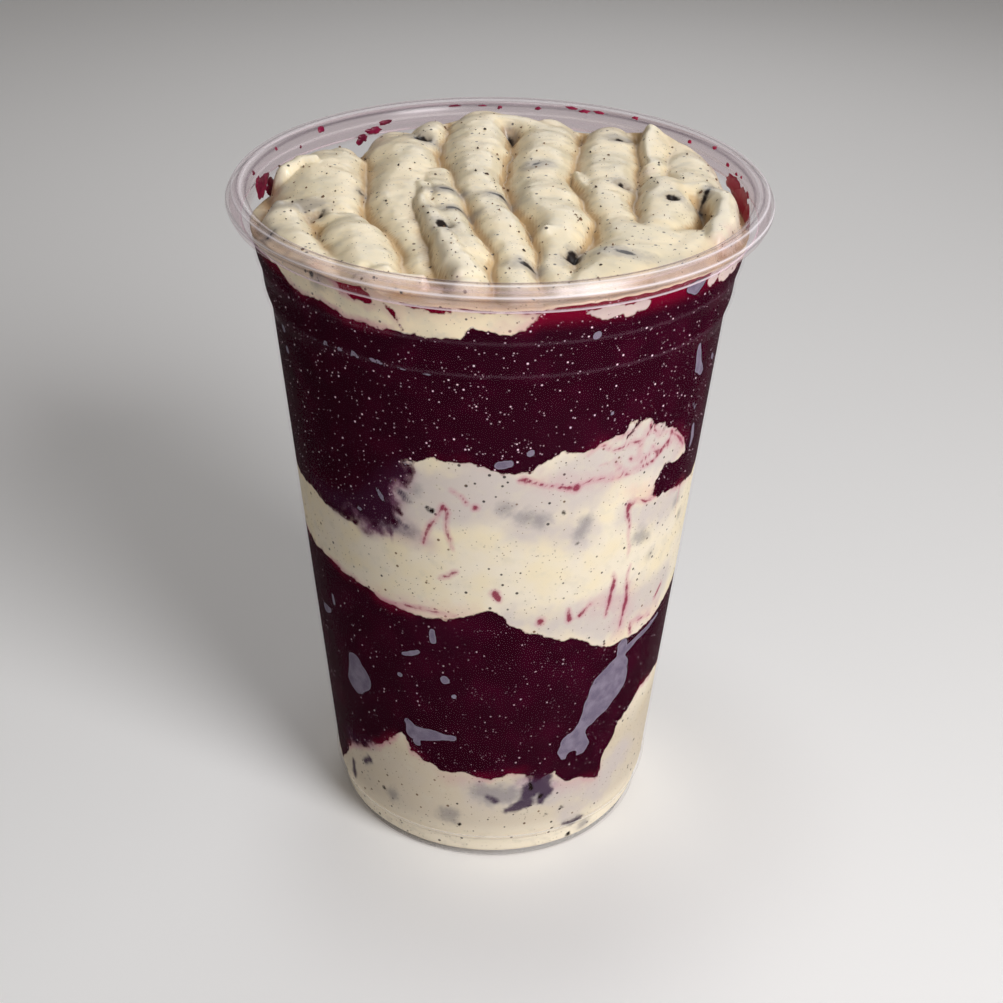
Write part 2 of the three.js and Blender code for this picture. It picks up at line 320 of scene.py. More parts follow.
TOP_CREAM_FOOT = (113, [
    (-64, 122.5), (-57, 122.5), (-54, 121), (-50, 120), (-42, 119.8), (-38, 119.3), (-34, 118.4),
    (-20, 118.3), (-10, 118.3), (-7.5, 118.6), (-6.5, 120), (-5.3, 121.3), (-4, 120.3), (-2, 119.6),
    (0, 119.3), (3, 119.6), (6, 121), (8, 122.8), (10, 123.8), (30, 124.2), (52, 123.6), (60, 122.8),
    (80, 119), (110, 116), (145, 113.5), (180, 114), (215, 113.5), (250, 117), (275, 120),
])
BOUNDARIES = (LOWER_ACAI_FOOT, MIDDLE_CREAM_FOOT, UPPER_ACAI_FOOT, TOP_CREAM_FOOT)


def wall_line(boundary, seed):
    """The boundary's height at each column, with the small wander of soft food."""
    _, spots = boundary
    angles, heights = zip(*spots)
    line = np.interp(ANGLES, angles, heights, period=360)
    around = ring(38, 0)
    return line + 0.35 * ripple(around, 4.0, seed) + 0.18 * ripple(around, 1.4, seed + 1)


LINES = [wall_line(boundary, 3 + i) for i, boundary in enumerate(BOUNDARIES)]

# Shares of the radius at which a boundary has its inner rings, and half its gap at the axis
BOUNDARY_RINGS = (0.985, 0.93, 0.8, 0.6, 0.35, 0.15)
HALF_GAP = 0.1


def boundary_rings(index, offset):
    """The inner rings of a boundary between two layers, from the wall to the axis."""
    middle, _ = BOUNDARIES[index]
    line = LINES[index]
    rings = []
    for share in BOUNDARY_RINGS:
        height = middle + (line - middle) * share ** 2 + offset * (1 - share)
        rings.append(ring(filling_radius(line) * share, height))
    return rings


# Marks on the wall, as strokes of (angle, height, half width)

def dabs(*marks):
    """Strokes of one point each."""
    return [[mark] for mark in marks]


ACAI_IN_CREAM = [
    [(48.5, 84.0, 1.4), (51, 84.4, 2.6), (54, 83.2, 3), (58, 83, 3.2), (63, 83, 3.4)],
    [(46, 82.3, 0.5), (49, 82, 1.4)],
    [(-38, 78.2, 0.6), (-34.5, 79.6, 0.9)],
    [(-40, 76.8, 0.8)],
    [(-33, 81.4, 0.5), (-29.5, 81.2, 0.6), (-28, 79.8, 0.35)],
    [(-27, 85.5, 0.5), (-25.4, 84, 0.4), (-25, 82.4, 0.25)],
    [(-24.5, 89.2, 0.4), (-22.8, 88.4, 0.3)],
    [(-22, 91.5, 0.35), (-20.6, 92, 0.3)],
    [(37.4, 99.8, 0.5), (35.8, 97.8, 0.2), (33.8, 96.4, 0)],
    [(43, 97.8, 0.5), (40.8, 96.2, 0.2), (38.4, 95.2, 0)],
    [(48.6, 96, 0.4), (46, 94.8, 0.15), (43.4, 93.8, 0)],
]
CREAM_IN_ACAI = [
    [(18.5, 122.8, 0.6), (22, 122.4, 1.2), (26, 122.5, 1.3)],
    [(28, 122.3, 1.1), (32, 122.4, 1)],
    [(52.5, 122.4, 1.1), (54, 122.3, 1.1)],
    [(57, 122, 1.1), (62, 121.6, 1), (68, 121, 0.7)],
]
ACAI_BEHIND_LIP = [
    [(-37, 125.8, 0.4), (-34, 125.4, 1.4), (-31, 124.3, 1.4), (-27.5, 122.9, 0.5)],
    [(-24.6, 125.6, 0.7), (-21, 125.0, 1), (-17.5, 124.1, 0.8), (-14, 123.8, 0.7), (-10, 123.6, 0.5)],
    [(-24.2, 123, 0.2), (-22.2, 121.5, 0.32), (-20.4, 119, 0.3)],
    [(-8, 124.3, 0.5), (-4, 124.6, 1.1), (0, 124.6, 1.1), (4.4, 124.4, 1), (9, 124.1, 0.7)],
    [(13, 124.5, 0.8), (19, 125.2, 1.5), (26, 125.4, 1.7), (33, 125.3, 1.6), (39, 124.6, 1.1),
     (45, 123.9, 0.7), (52, 124, 0.5)],
]
COOL_CREAM = [
    [(-33, 79, 2), (-27, 82, 4), (-18, 86, 6), (-8, 88, 6.5), (2, 88, 5.5), (12, 87, 5), (24, 89, 6)],
    [(24, 91, 6), (36, 94, 6.5), (46, 93, 6), (54, 90, 5)],
    [(8, 82, 4), (22, 79, 4)],
    [(38, 80, 2.5), (48, 78, 4), (58, 78, 4)],
    [(4, 61, 1.5), (14, 60, 3), (26, 59, 4), (36, 58, 6), (46, 58, 5), (58, 58, 4)],
    [(-3, 19, 2.5), (8, 18, 4), (20, 18, 4.5)],
    [(30, 10, 3)],
    [(28, 17, 2.5), (40, 14, 4), (50, 18, 4.5)],
    [(16, 122.5, 2.5), (34, 122.5, 2.5), (52, 122.5, 2.5), (68, 121, 2.5)],
]
STIRRED = [
    [(-58, 79.5, 1), (-48, 79, 2), (-41, 79.4, 2.6), (-35, 80.6, 3.6), (-30, 83.6, 3.6), (-26, 88, 2.8),
     (-23, 91.5, 1.4)],
    [(-38, 76.2, 1), (-30, 77.8, 2.4), (-22, 78.2, 2.4), (-17, 77, 1.4)],
    [(10, 20.8, 0.8), (17, 20.6, 1.4), (20, 19, 1)],
    [(-58, 20, 1.5), (-52, 20.5, 1.2), (-45, 23, 0.6)],
]
LILAC_POCKETS = [
    [(-31.2, 85.6, 0.35), (-30.2, 84.4, 0.5), (-29.4, 83.4, 0.2)],
    [(-27.8, 88.8, 0.25), (-26.8, 88.0, 0.2)],
    [(-38.6, 80.2, 0.35), (-37.6, 79.8, 0.3)],
    [(-22.6, 92.6, 0.5), (-21, 92.9, 0.35)],
    [(-47.8, 42, 2), (-46.6, 39.2, 3.3), (-48.6, 36.8, 2.5)],
    [(-27.4, 33.6, 0.6), (-25, 31.3, 1.9), (-22, 31.6, 1.6), (-16, 32, 1), (-11.8, 32.1, 0.6)],
    [(-25.3, 31, 1.2), (-24.3, 29, 0.8)],
    [(-17.3, 57.4, 0.45), (-17.2, 55, 0.6)],
    [(-27, 50.2, 0.35), (-24, 51, 0.6), (-21.8, 51.7, 0.4)],
    [(61.5, 49.8, 0.5), (55, 48.8, 0.6), (50, 48.3, 0.6), (46, 47.2, 0.9)],
    [(43, 49, 1.3), (43.3, 46.5, 1.2), (42, 43.5, 3), (39.7, 40.3, 4.8), (36.5, 37, 3.7), (33, 34, 2.2),
     (31, 32.5, 1.6)],
    [(30, 31.5, 1.5), (28, 29, 2.8), (28.2, 27.6, 3.4)],
    [(57, 108.5, 0.6), (58, 106, 0.9), (59, 104, 1.2), (61.5, 102.3, 0.8)],
    [(44.5, 122.7, 0.7), (47, 122.3, 1.3), (49.3, 122.9, 0.6)],
    [(60.5, 96, 0.45), (61.5, 95, 0.35)],
    [(63, 91, 0.6), (64, 88, 0.75), (63.5, 86.6, 0.4)],
    [(69, 103, 0.5), (71, 102, 0.35)],
    [(-56.5, 55, 0.45), (-56, 53, 0.5)],
    [(-60, 50, 0.6), (-64, 49, 1)],
    [(-47, 111.6, 0.25), (-45.8, 111.5, 0.1)],
    [(-43.4, 111.2, 0.2), (-42.6, 111.9, 0.3), (-41.9, 111.3, 0.1)],
    [(-38.8, 111.2, 0.1), (-38, 111.8, 0.42), (-37, 111.2, 0.12)],
    [(-34.8, 111.1, 0.1), (-34.2, 112.2, 0.2), (-32.8, 111.2, 0.35), (-31.8, 111.1, 0.05)],
    [(-29.4, 111.6, 0.15), (-27.4, 111.6, 0.4), (-25.4, 110.9, 0.12)],
    [(-22.4, 111.3, 0.12), (-20.6, 111.2, 0.1)],
    [(-16.8, 110.9, 0.12), (-15.4, 111.0, 0.28), (-14.6, 110.9, 0.1)],
    [(-9.8, 110.9, 0.12), (-8.9, 111, 0.1)],
    [(0.8, 94.2, 0.7), (3.4, 94.6, 0.7)],
] + dabs(
    (-14, 46.3, 0.9), (-11.3, 42.5, 0.6), (-28.8, 44.8, 0.5), (-65, 108, 0.8), (-64.5, 104, 0.8),
    (30.6, 117.4, 0.15), (28.4, 102.2, 0.35), (33.4, 102.0, 0.25), (21.5, 118.4, 0.85),
    (8.5, 96.5, 0.75),
)
POCKET_NOTCHES = [
    [(27.7, 25.4, 1.15)],
    [(20, 22.9, 2.2), (37, 22.9, 2.2)],
]
GREY_SHADOWS = [
    [(8, 83.5, 1.6), (12.5, 82.6, 1.4)],
    [(24, 81.4, 1), (23.2, 78.8, 1.4)],
    [(42, 74, 1.4), (46, 73, 1.2)],
    [(10, 16.8, 1.8), (14.5, 18.4, 2.2), (18.4, 16.2, 1.6)],
    [(-4, 19.5, 1.6), (1, 18, 2.6), (7, 18, 2.6)],
    [(27.5, 7.2, 0.3), (31.5, 6.6, 1), (35.5, 7.3, 0.3)],
    [(-49.5, 16.2, 0.4), (-46, 18, 0.4)],
    [(-42, 122.8, 1), (-40, 125, 1.6), (-37, 125, 1.2)],
    [(-30, 79, 1.5), (-22, 78.5, 1.5)],
] + dabs(
    (3, 85.5, 1.3), (49.5, 67.8, 1), (65, 71.5, 1), (-22.5, 85.5, 0.8), (-20, 87.5, 0.8), (-14, 11.5, 2),
    (-36, 12, 1.6), (37.5, 4, 1.6), (-66, 79, 1), (45, 73, 1), (60, 76, 1.2),
)
PURPLE_MARKS = [
    [(12, 16.8, 1), (14, 18.8, 1.9), (17, 20.4, 2.2), (19, 21.5, 1.4)],
    [(18.8, 20, 1), (19.2, 17.6, 1.3), (17.8, 15.4, 0.8)],
    [(5.6, 13.8, 0.5), (9, 14.5, 1.2), (12.6, 15.4, 1.4)],
    [(-1, 17.6, 0.2), (2.5, 16.2, 0.4)],
    [(-49.5, 16.3, 0.4), (-46, 18, 0.5)],
    [(-58, 13, 0.5), (-58.5, 9, 0.7)],
    [(-31, 79.5, 0.4), (-26, 80.4, 0.6), (-23, 79.4, 0.3)],
    [(-24.6, 86.4, 0.5), (-22, 84.8, 0.3)],
    [(28, 7, 0.3), (31.5, 6.5, 0.7), (35.5, 7.2, 0.3)],
]
DARK_CHIPS = [
    [(-17.2, 84.6, 0.35), (-15.8, 83.8, 0.45)],
    [(13.6, 125.6, 0.3), (14.6, 125.2, 0.2)],
    [(14, 19, 0.35), (13.4, 22, 0.25)],
] + dabs(
    (-10, 9.5, 0.15), (26, 12.1, 0.45), (31.3, 2.8, 0.5), (-40, 12.6, 0.4), (20, 11.3, 0.3),
    (22.3, 76.6, 0.35), (17.8, 83.8, 0.3), (50, 67.9, 0.3), (-2.4, 124.8, 0.3), (-43, 124.4, 0.4),
    (3.4, 125.7, 0.25), (17.5, 16.6, 0.5),
)
PINK_STREAKS = [
    [(-18.7, 76.6, 0.15), (-18, 78.6, 0.3), (-17, 80.4, 0.25), (-15, 82.4, 0.2), (-12.9, 85.2, 0.35),
     (-12.0, 84, 0.3), (-12.4, 81, 0.2), (-11.6, 78.6, 0.3), (-10.8, 76.4, 0.1)],
    [(-11, 88.7, 0.15), (-8.5, 87.8, 0.2), (-7, 86.3, 0.25)],
    [(-14.5, 69.8, 0.15), (-12, 70.6, 0.35), (-10, 71.6, 0.25)],
    [(0.4, 67.4, 0.8), (1.6, 66, 0.5)],
    [(6, 91.2, 0.25), (12, 90, 0.25), (18, 88.8, 0.35), (25, 89.6, 0.2), (32, 88.8, 0.25), (38, 89, 0.3),
     (44, 89.3, 0.35), (47, 90.8, 0.4), (50, 92.2, 0.35)],
    [(23, 95, 0.2), (26, 96.6, 0.2), (30, 94.6, 0.2), (35, 94.8, 0.25), (38, 95, 0.3), (40.5, 95.5, 0.25)],
    [(41, 97.5, 0.25), (41.5, 96, 0.2), (45, 95.6, 0.2)],
    [(7, 91.4, 0.5), (10, 90.6, 0.4)],
    [(37, 81.5, 0.5), (40, 82.2, 0.3), (44, 81, 0.35), (48, 81.3, 0.4)],
    [(37.2, 82, 0.5), (37.4, 80, 0.4), (38.6, 77.5, 0.2), (38.6, 75, 0.1), (39.8, 72, 0),
     (39.6, 70, -0.1)],
    [(35, 67.5, 0.15), (36, 65.8, 0.4), (35.6, 64, 0.35)],
    [(35.5, 66, 0.25), (35, 61.5, 0.4), (34.2, 58.2, 0.3)],
    [(41, 63.5, 0.35), (41.6, 60, 0.5), (41, 57, 0.45), (40.5, 54, 0.15)],
    [(41.2, 68, -0.1), (40.4, 65.5, 0.1), (41.2, 63, 0.1)],
    [(21.5, 62, 0.3), (22, 59.8, 0.6)],
    [(25.3, 60.3, 0.5), (28.5, 62.3, 0.25)],
    [(45, 53.2, 0.3), (46, 50.6, 0.4)],
    [(45, 53.8, 0.15), (50, 53, 0.2), (55, 52.2, 0.15)],
    [(56.8, 55.5, 0.4), (59.5, 57.5, 0.45)],
    [(-33, 61.2, 0.1), (-26, 61.8, 0.2), (-19, 62.2, 0.4), (-14, 61.8, 0.2), (-10, 61.6, 0.05)],
    [(50, 94, 0.3), (55, 91, 0.3), (58, 88.5, 0.4)],
] + dabs(
    (-4.8, 85.5, 0.6), (36, 95.3, 0.4), (38.7, 93.3, 0.6), (35.8, 91.6, 0.35), (20.5, 88.4, 0.7),
    (13.5, 60.5, 0.8),
)
PINK_WASH = [
    [(53, 91, 0.6), (58, 88, 0.8)],
    [(38, 85, 1.2), (44, 82.5, 1.2)],
    [(10, 91, 0.8), (20, 89.6, 1), (32, 89.2, 0.8)],
    [(30, 62, 1.5), (41, 60, 2), (41, 53, 1.8)],
    [(-20, 61.8, 1.4)],
    [(0, 120, 1), (17, 122.6, 1.4), (33, 122.6, 1.4)],
    [(50, 122.4, 1.4), (68, 121.2, 1.4)],
    [(-26, 124, 0.8), (-18, 123.6, 1), (-8, 124.2, 1)],
    [(-14, 21.6, 0.8), (-5, 21.8, 0.6)],
    [(24, 18.6, 0.8), (38, 16, 0.8)],
    [(-38, 62, 0.6), (-22, 61.6, 1.4), (-6, 62.4, 0.8)],
    [(48, 53, 1.6), (58, 53, 1.2)],
]


# Fields on the wall are cut off at this distance
FIELD_REACH = 5.0


def stroke_distance(strokes, angle, height):
    """Signed distance to the nearest stroke: below zero inside it."""
    wrapped = (angle + 180) % 360 - 180
    reach = filling_radius(height)
    best = np.full(angle.shape, 50.0)
    for stroke in strokes:
        ends = stroke if len(stroke) > 1 else stroke * 2
        for (angle0, height0, width0), (angle1, height1, width1) in zip(ends, ends[1:]):
            along = np.radians(wrapped - angle0) * reach
            up = height - height0
            run = math.radians(angle1 - angle0) * float(filling_radius(height0))
            rise = height1 - height0
            length = run * run + rise * rise
            share = np.clip((along * run + up * rise) / length, 0, 1) if length else 0.0
            distance = np.hypot(along - share * run, up - share * rise)
            best = np.minimum(best, distance - (width0 + (width1 - width0) * share))
    return best


def edge_field(angle, height):
    """Signed distance to the nearest boundary on the wall: above zero in acai, below in cream."""
    best = np.full(angle.shape, 50.0)
    inside = np.zeros(angle.shape, dtype=int)
    for line in LINES:
        at = np.interp(angle, ANGLES, line, period=360)
        ahead = np.interp(angle + 0.6, ANGLES, line, period=360)
        behind = np.interp(angle - 0.6, ANGLES, line, period=360)
        slope = (ahead - behind) / (math.radians(1.2) * 38)
        best = np.minimum(best, np.abs(height - at) / np.sqrt(1 + slope * slope))
        inside += (height > at).astype(int)
    acai = inside % 2 == 1
    edge = np.where(acai, best, -best)
    edge = np.maximum(edge, -stroke_distance(ACAI_IN_CREAM + ACAI_BEHIND_LIP, angle, height))
    return np.minimum(edge, stroke_distance(CREAM_IN_ACAI, angle, height))


def hidden_side_marks(rng):
    """Air pockets, grey shadows and streaks for the half that the photograph doesn't show."""
    pockets, shadows, streaks = [], [], []
    for _ in range(16):
        angle, height = rng.uniform(85, 275), rng.uniform(8, 118)
        pockets.append([(angle, height, rng.uniform(0.4, 1.6)), (angle + rng.uniform(-4, 4),
                       height + rng.uniform(-3, 3), rng.uniform(0.3, 1.0))])
    for _ in range(16):
        angle, height = rng.uniform(85, 275), rng.uniform(4, 90)
        shadows.append([(angle, height, rng.uniform(0.5, 1.8))])
    for _ in range(26):
        angle, height = rng.uniform(85, 275), rng.uniform(60, 94)
        turn, stroke = rng.uniform(0, math.tau), []
        for _ in range(4):
            stroke.append((angle, height, rng.uniform(0.15, 0.5)))
            turn += rng.uniform(-0.6, 0.6)
            angle += 3.2 * math.cos(turn)
            height += 2.0 * math.sin(turn)
        streaks.append(stroke)
    return pockets, shadows, streaks


def swirl_veins(rng):
    """Fine veins of juice along the swirl of cream at the front right."""
    veins = []
    for _ in range(17):
        angle = rng.uniform(22, 57)
        top = float(np.interp(angle, [20, 35, 45, 58], [95, 98.5, 96, 89]))
        height = rng.uniform(88.6, top)
        length, stroke = rng.uniform(1.5, 4.5), []
        bend = rng.uniform(-0.5, 0.7)
        for share in (0, 0.5, 1):
            width = rng.uniform(-0.05, 0.25) + (0.1 if share == 0.5 else 0)
            stroke.append((angle + length * share, height + (0.5 - 1.3 * share * bend), width))
        veins.append(stroke)
    return veins


back_pockets, back_shadows, back_streaks = hidden_side_marks(random.Random(11))


def turned_back(strokes):
    """The same strokes with their angles from -180 to 180."""
    return [[((angle + 180) % 360 - 180, height, width) for angle, height, width in s] for s in strokes]


MARKS = {
    "streak": PINK_STREAKS + swirl_veins(random.Random(4)) + turned_back(back_streaks),
    "wash": PINK_WASH,
    "pocket": LILAC_POCKETS + turned_back(back_pockets),
    "shadow": GREY_SHADOWS + turned_back(back_shadows),
    "chip": DARK_CHIPS,
    "purple": PURPLE_MARKS,
    "cool": COOL_CREAM,
    "mixing": STIRRED,
}


def wall_fields(points):
    """Signed distances that the filling's material reads, for points on the wall."""
    points = np.asarray(points)
    angle = np.degrees(np.arctan2(points[:, 0], -points[:, 1]))
    height = points[:, 2]
    fields = {name: stroke_distance(strokes, angle, height) for name, strokes in MARKS.items()}
    fields["pocket"] = np.maximum(fields["pocket"], -stroke_distance(POCKET_NOTCHES, angle, height))
    fields["edge"] = edge_field(angle, height)
    # The wall gets no painted crease shade and no painted crest highlight
    fields["crease_shade"] = fields["crest"] = np.zeros(len(points))
    return {name: np.clip(values, -FIELD_REACH, FIELD_REACH) for name, values in fields.items()}


# Materials

class Material:
    """A material made of nodes, with a short name for each step that the shading repeats."""

    def __init__(self, name, colour):
        self.material = bpy.data.materials.new(name)
        self.material.use_nodes = True
        self.material.diffuse_color = (*colour, 1)
        self.tree = self.material.node_tree
        self.tree.nodes.clear()
        self.output = self.tree.nodes.new("ShaderNodeOutputMaterial")
        self.place = self.add("TexCoord").outputs["Object"]

    def connect(self, value, socket):
        """Links another node's output to the socket, or sets the socket to a plain value."""
        if isinstance(value, bpy.types.NodeSocket):
            self.tree.links.new(value, socket)
        else:
            socket.default_value = value

    def add(self, kind, **settings):
        """Adds a node. Settings name its properties, and its inputs by name with spaces as _."""
        made = self.tree.nodes.new("ShaderNode" + kind)
        for name, value in settings.items():
            if hasattr(made, name):
                setattr(made, name, value)
            elif name.startswith("in"):
                self.connect(value, made.inputs[int(name[2:])])
            else:
                self.connect(value, made.inputs[name.replace("_", " ")])
        return made

    def math(self, operation, first, second, clamp=False):
        return self.add("Math", operation=operation, use_clamp=clamp, in0=first, in1=second).outputs[0]

    def times(self, first, second):
        return self.math("MULTIPLY", first, second)

    def between(self, value, low, high):
        """A smooth 0 to 1 as value goes from low to high."""
        made = self.add("MapRange", Value=value, From_Min=low, From_Max=high)
        made.interpolation_type = "SMOOTHSTEP"
        return made.outputs[0]

    def spread(self, value, least, most, low=0.0, high=1.0):
        """An even least to most as value goes from low to high."""
        made = self.add("MapRange", Value=value, From_Min=low, From_Max=high, To_Min=least, To_Max=most)
        return made.outputs[0]

    def over(self, under, colour, share, *more):
        """A colour laid over another, by the product of the shares."""
        for other in more:
            share = self.times(share, other)
        made = self.add("Mix", data_type="RGBA")
        self.connect(share, made.inputs[0])
        for value, socket in ((under, made.inputs[6]), (colour, made.inputs[7])):
            self.connect((*value, 1) if isinstance(value, tuple) else value, socket)
        return made.outputs[2]

    def noise(self, scale, detail=2.0, roughness=0.5):
        made = self.add("TexNoise", Vector=self.place, Scale=scale, Detail=detail, Roughness=roughness)
        return made.outputs[0]

    def field(self, name):
        return self.add("Attribute", attribute_name=name).outputs["Fac"]

    def along(self, axis):
        return self.add("SeparateXYZ", Vector=self.place).outputs[axis]

    def finished(self, surface):
        self.tree.links.new(surface.outputs[0], self.output.inputs[0])
        return self.material


CREAM = (0.79, 0.71, 0.57)
CREAM_YELLOW = (0.80, 0.70, 0.50)
CREAM_GREY = (0.66, 0.60, 0.48)
SPECK = (0.022, 0.016, 0.016)
SPECK_BROWN = (0.16, 0.085, 0.04)
SPECK_FAINT = (0.36, 0.31, 0.21)
CREAM_TOP = (0.95, 0.805, 0.555)
# Painted light: brighter cream laid on at the foot of the wall and on the crests of the piped ropes
CREAM_PAINTED_LIGHT = (0.93, 0.84, 0.67)
# Painted shade: darker cream laid on in a band up the lower wall
CREAM_PAINTED_SHADE = (0.50, 0.42, 0.33)
CREAM_COOL = (0.57, 0.505, 0.475)
MIXED = (0.44, 0.28, 0.36)
COOKIE_SHADOW = (0.20, 0.185, 0.20)
CHIP = (0.015, 0.009, 0.008)
ACAI = (0.024, 0.0009, 0.0065)
ACAI_RED = (0.036, 0.0012, 0.0095)
RED_EDGE = (0.14, 0.003, 0.020)
RED_LIP = (0.25, 0.001, 0.022)
PINK = (0.56, 0.23, 0.29)
PINK_DARK = (0.17, 0.006, 0.026)
CRIMSON = (0.23, 0.016, 0.05)
LILAC = (0.160, 0.132, 0.190)
LILAC_LIGHT = (0.235, 0.200, 0.262)
PURPLE = (0.055, 0.030, 0.062)
PLUM = (0.19, 0.06, 0.13)
ACAI_PURPLE = (0.052, 0.012, 0.038)
# Painted shade for the creases between the piped ropes
CREASE_PAINTED_SHADE = (0.55, 0.37, 0.185)
FROST = (1.0, 0.70, 0.82)


def filling_material(name, colour, cream_colour, gloss, roughness=0.42):
    """Cream or acai by the signed distance to their edge, with streaks, pockets, chips and specks, and
    painted light and shade on the cream.
    """
    made = Material(name, colour)
    times, between, over, field = made.times, made.between, made.over, made.field

    def shifted(value, wander, size):
        """The value moved by noise, up to about half of size either way."""
        return made.math("ADD", value, times(made.math("SUBTRACT", wander, 0.5), size))

    def frayed(name, wide, narrow):
        """A field of signed distances, its outline moved by the wider and the finer noise."""
        return shifted(shifted(field(name), medium, wide), fine, narrow)

    def dots(scale, radius, fewest=0.25, most=0.85):
        """Round dots where the surface cuts small balls, one in each cell, of mixed sizes."""
        cells = made.add("TexVoronoi", Vector=made.place, Scale=scale)
        size = times(between(cells.outputs["Color"], fewest, most), radius)
        size = made.math("MAXIMUM", size, 0.001)
        return between(made.math("DIVIDE", cells.outputs["Distance"], size), 1.0, 0.6)

    fine = made.noise(1300.0, 3.0, 0.55)
    medium = made.noise(420.0, 2.0, 0.55)
    curly = made.noise(260.0, 3.0, 0.55)
    soft = made.noise(160.0, 2.0, 0.55)
    broad = made.noise(60.0, 2.0, 0.55)
    uneven = made.noise(110.0, 2.0, 0.55)
    height = made.along("Z")

    # Where the layers are stirred together, their edge is ragged and blurred
    mixing = between(shifted(field("mixing"), soft, 3.0), 2.0, -2.0)
    unstirred = made.math("SUBTRACT", 1.0, mixing)
    swirl = made.math("ADD", times(mixing, 12.0), 1.8)
    edge = shifted(frayed("edge", 1.5, 0.5), curly, swirl)
    blur = made.math("ADD", times(mixing, 2.0), 0.07)
    acai_share = between(edge, times(blur, -1.0), blur)
    patchy = between(broad, 0.5, 0.66)

    # Cream, yellower and cooler in places, with painted light towards the foot, painted shade in a band above
    # it, and brown and dark specks
    cream = over(cream_colour, CREAM_YELLOW, between(soft, 0.35, 0.7))
    cream = over(cream, CREAM_PAINTED_LIGHT, between(height, 0.028, 0.004), 0.8)
    cream = over(cream, CREAM_PAINTED_SHADE, between(height, 0.005, 0.011), between(height, 0.034, 0.024), 0.6)
    cool = shifted(shifted(field("cool"), soft, 7.0), medium, 3.0)
    cream = over(cream, CREAM_COOL, between(cool, 2.5, -3.0), 0.85)
    cream = over(cream, CREAM_GREY, between(medium, 0.5, 0.75), 0.45)
    # Painted highlight on the crests of the piped ropes, and painted shade in the creases between them
    cream = over(cream, CREAM_PAINTED_LIGHT, field("crest"), 0.7)
    cream = over(cream, CREASE_PAINTED_SHADE, field("crease_shade"), 0.9)
    cream = over(cream, MIXED, mixing, 0.5)
    cream = over(cream, PLUM, mixing, between(edge, -3.0, 0.0), 0.9)
    cream = over(cream, SPECK_FAINT, dots(800.0, 0.2), 0.5)
    cream = over(cream, SPECK_BROWN, dots(1250.0, 0.19, 0.15, 0.8), 0.75)
    speck = over(SPECK, SPECK_BROWN, between(soft, 0.5, 0.6))
    cream = over(cream, speck, dots(520.0, 0.19, 0.1, 0.75), 0.9)

    # Cookie under the surface, streaks of juice, and acai that shows through along the edge
    cream = over(cream, COOKIE_SHADOW, between(frayed("shadow", 3.0, 0.9), 1.3, -1.5), 0.6)
    cream = over(cream, PINK, between(frayed("wash", 4.0, 1.6), 2.6, -2.4), 0.3)
    cream = over(cream, PURPLE, between(frayed("purple", 1.8, 0.7), 0.7, -0.6), 0.93)
    streak = frayed("streak", 0.8, 0.45)
    cream = over(cream, PINK, between(streak, 0.75, -0.15), 0.5)
    cream = over(cream, CRIMSON, between(streak, 0.1, -0.3), 0.9)
    cream = over(cream, PINK, between(edge, -1.6, -0.1), patchy, unstirred, 0.75)
    cream = over(cream, PINK_DARK, between(edge, -0.3, 0.0), unstirred, 0.5)
    cream = over(cream, CHIP, between(frayed("chip", 1.4, 0.7), 0.30, -0.25))

    # Acai, redder in places, along the cream and near the lip, with specks of frost
    acai = over(ACAI, ACAI_RED, between(soft, 0.4, 0.75))
    acai = over(acai, RED_EDGE, between(edge, 2.4, 0.1), patchy, unstirred, 0.7)
    acai = over(acai, RED_LIP, between(height, 0.1195, 0.1245), 0.85)
    acai = over(acai, ACAI_PURPLE, mixing, 0.5)
    frosty = times(made.spread(height, 0.5, 1.0, 0.06, 0.1), made.spread(uneven, 0.75, 1.0, 0.35, 0.6))
    acai = over(acai, FROST, dots(1500.0, 0.30, 0.4, 0.9), frosty, 0.45)
    acai = over(acai, FROST, dots(820.0, 0.19, 0.45, 0.8), frosty)

    # Air pockets, where the filling stands back from the wall
    here = over(cream, acai, acai_share)
    pocket = frayed("pocket", 0.8, 0.3)
    lilac = over(LILAC, LILAC_LIGHT, between(medium, 0.35, 0.7))
    lilac = over(lilac, LILAC_LIGHT, between(pocket, -0.35, -0.1))
    lilac = over(lilac, ACAI, dots(900.0, 0.13))
    in_acai = between(edge, -0.6, 0.0)
    here = over(here, ACAI, between(pocket, 0.30, 0.12), in_acai)
    here = over(here, lilac, between(pocket, 0.04, -0.06), in_acai)

    shine = times(made.math("SUBTRACT", 1.0, acai_share), gloss) if gloss else 0.0
    return made.finished(made.add(
        "BsdfPrincipled", Base_Color=here, Roughness=roughness, Specular_IOR_Level=shine,
        Subsurface_Weight=0.05, Subsurface_Radius=(1.0, 0.75, 0.5), Subsurface_Scale=0.001,
    ))


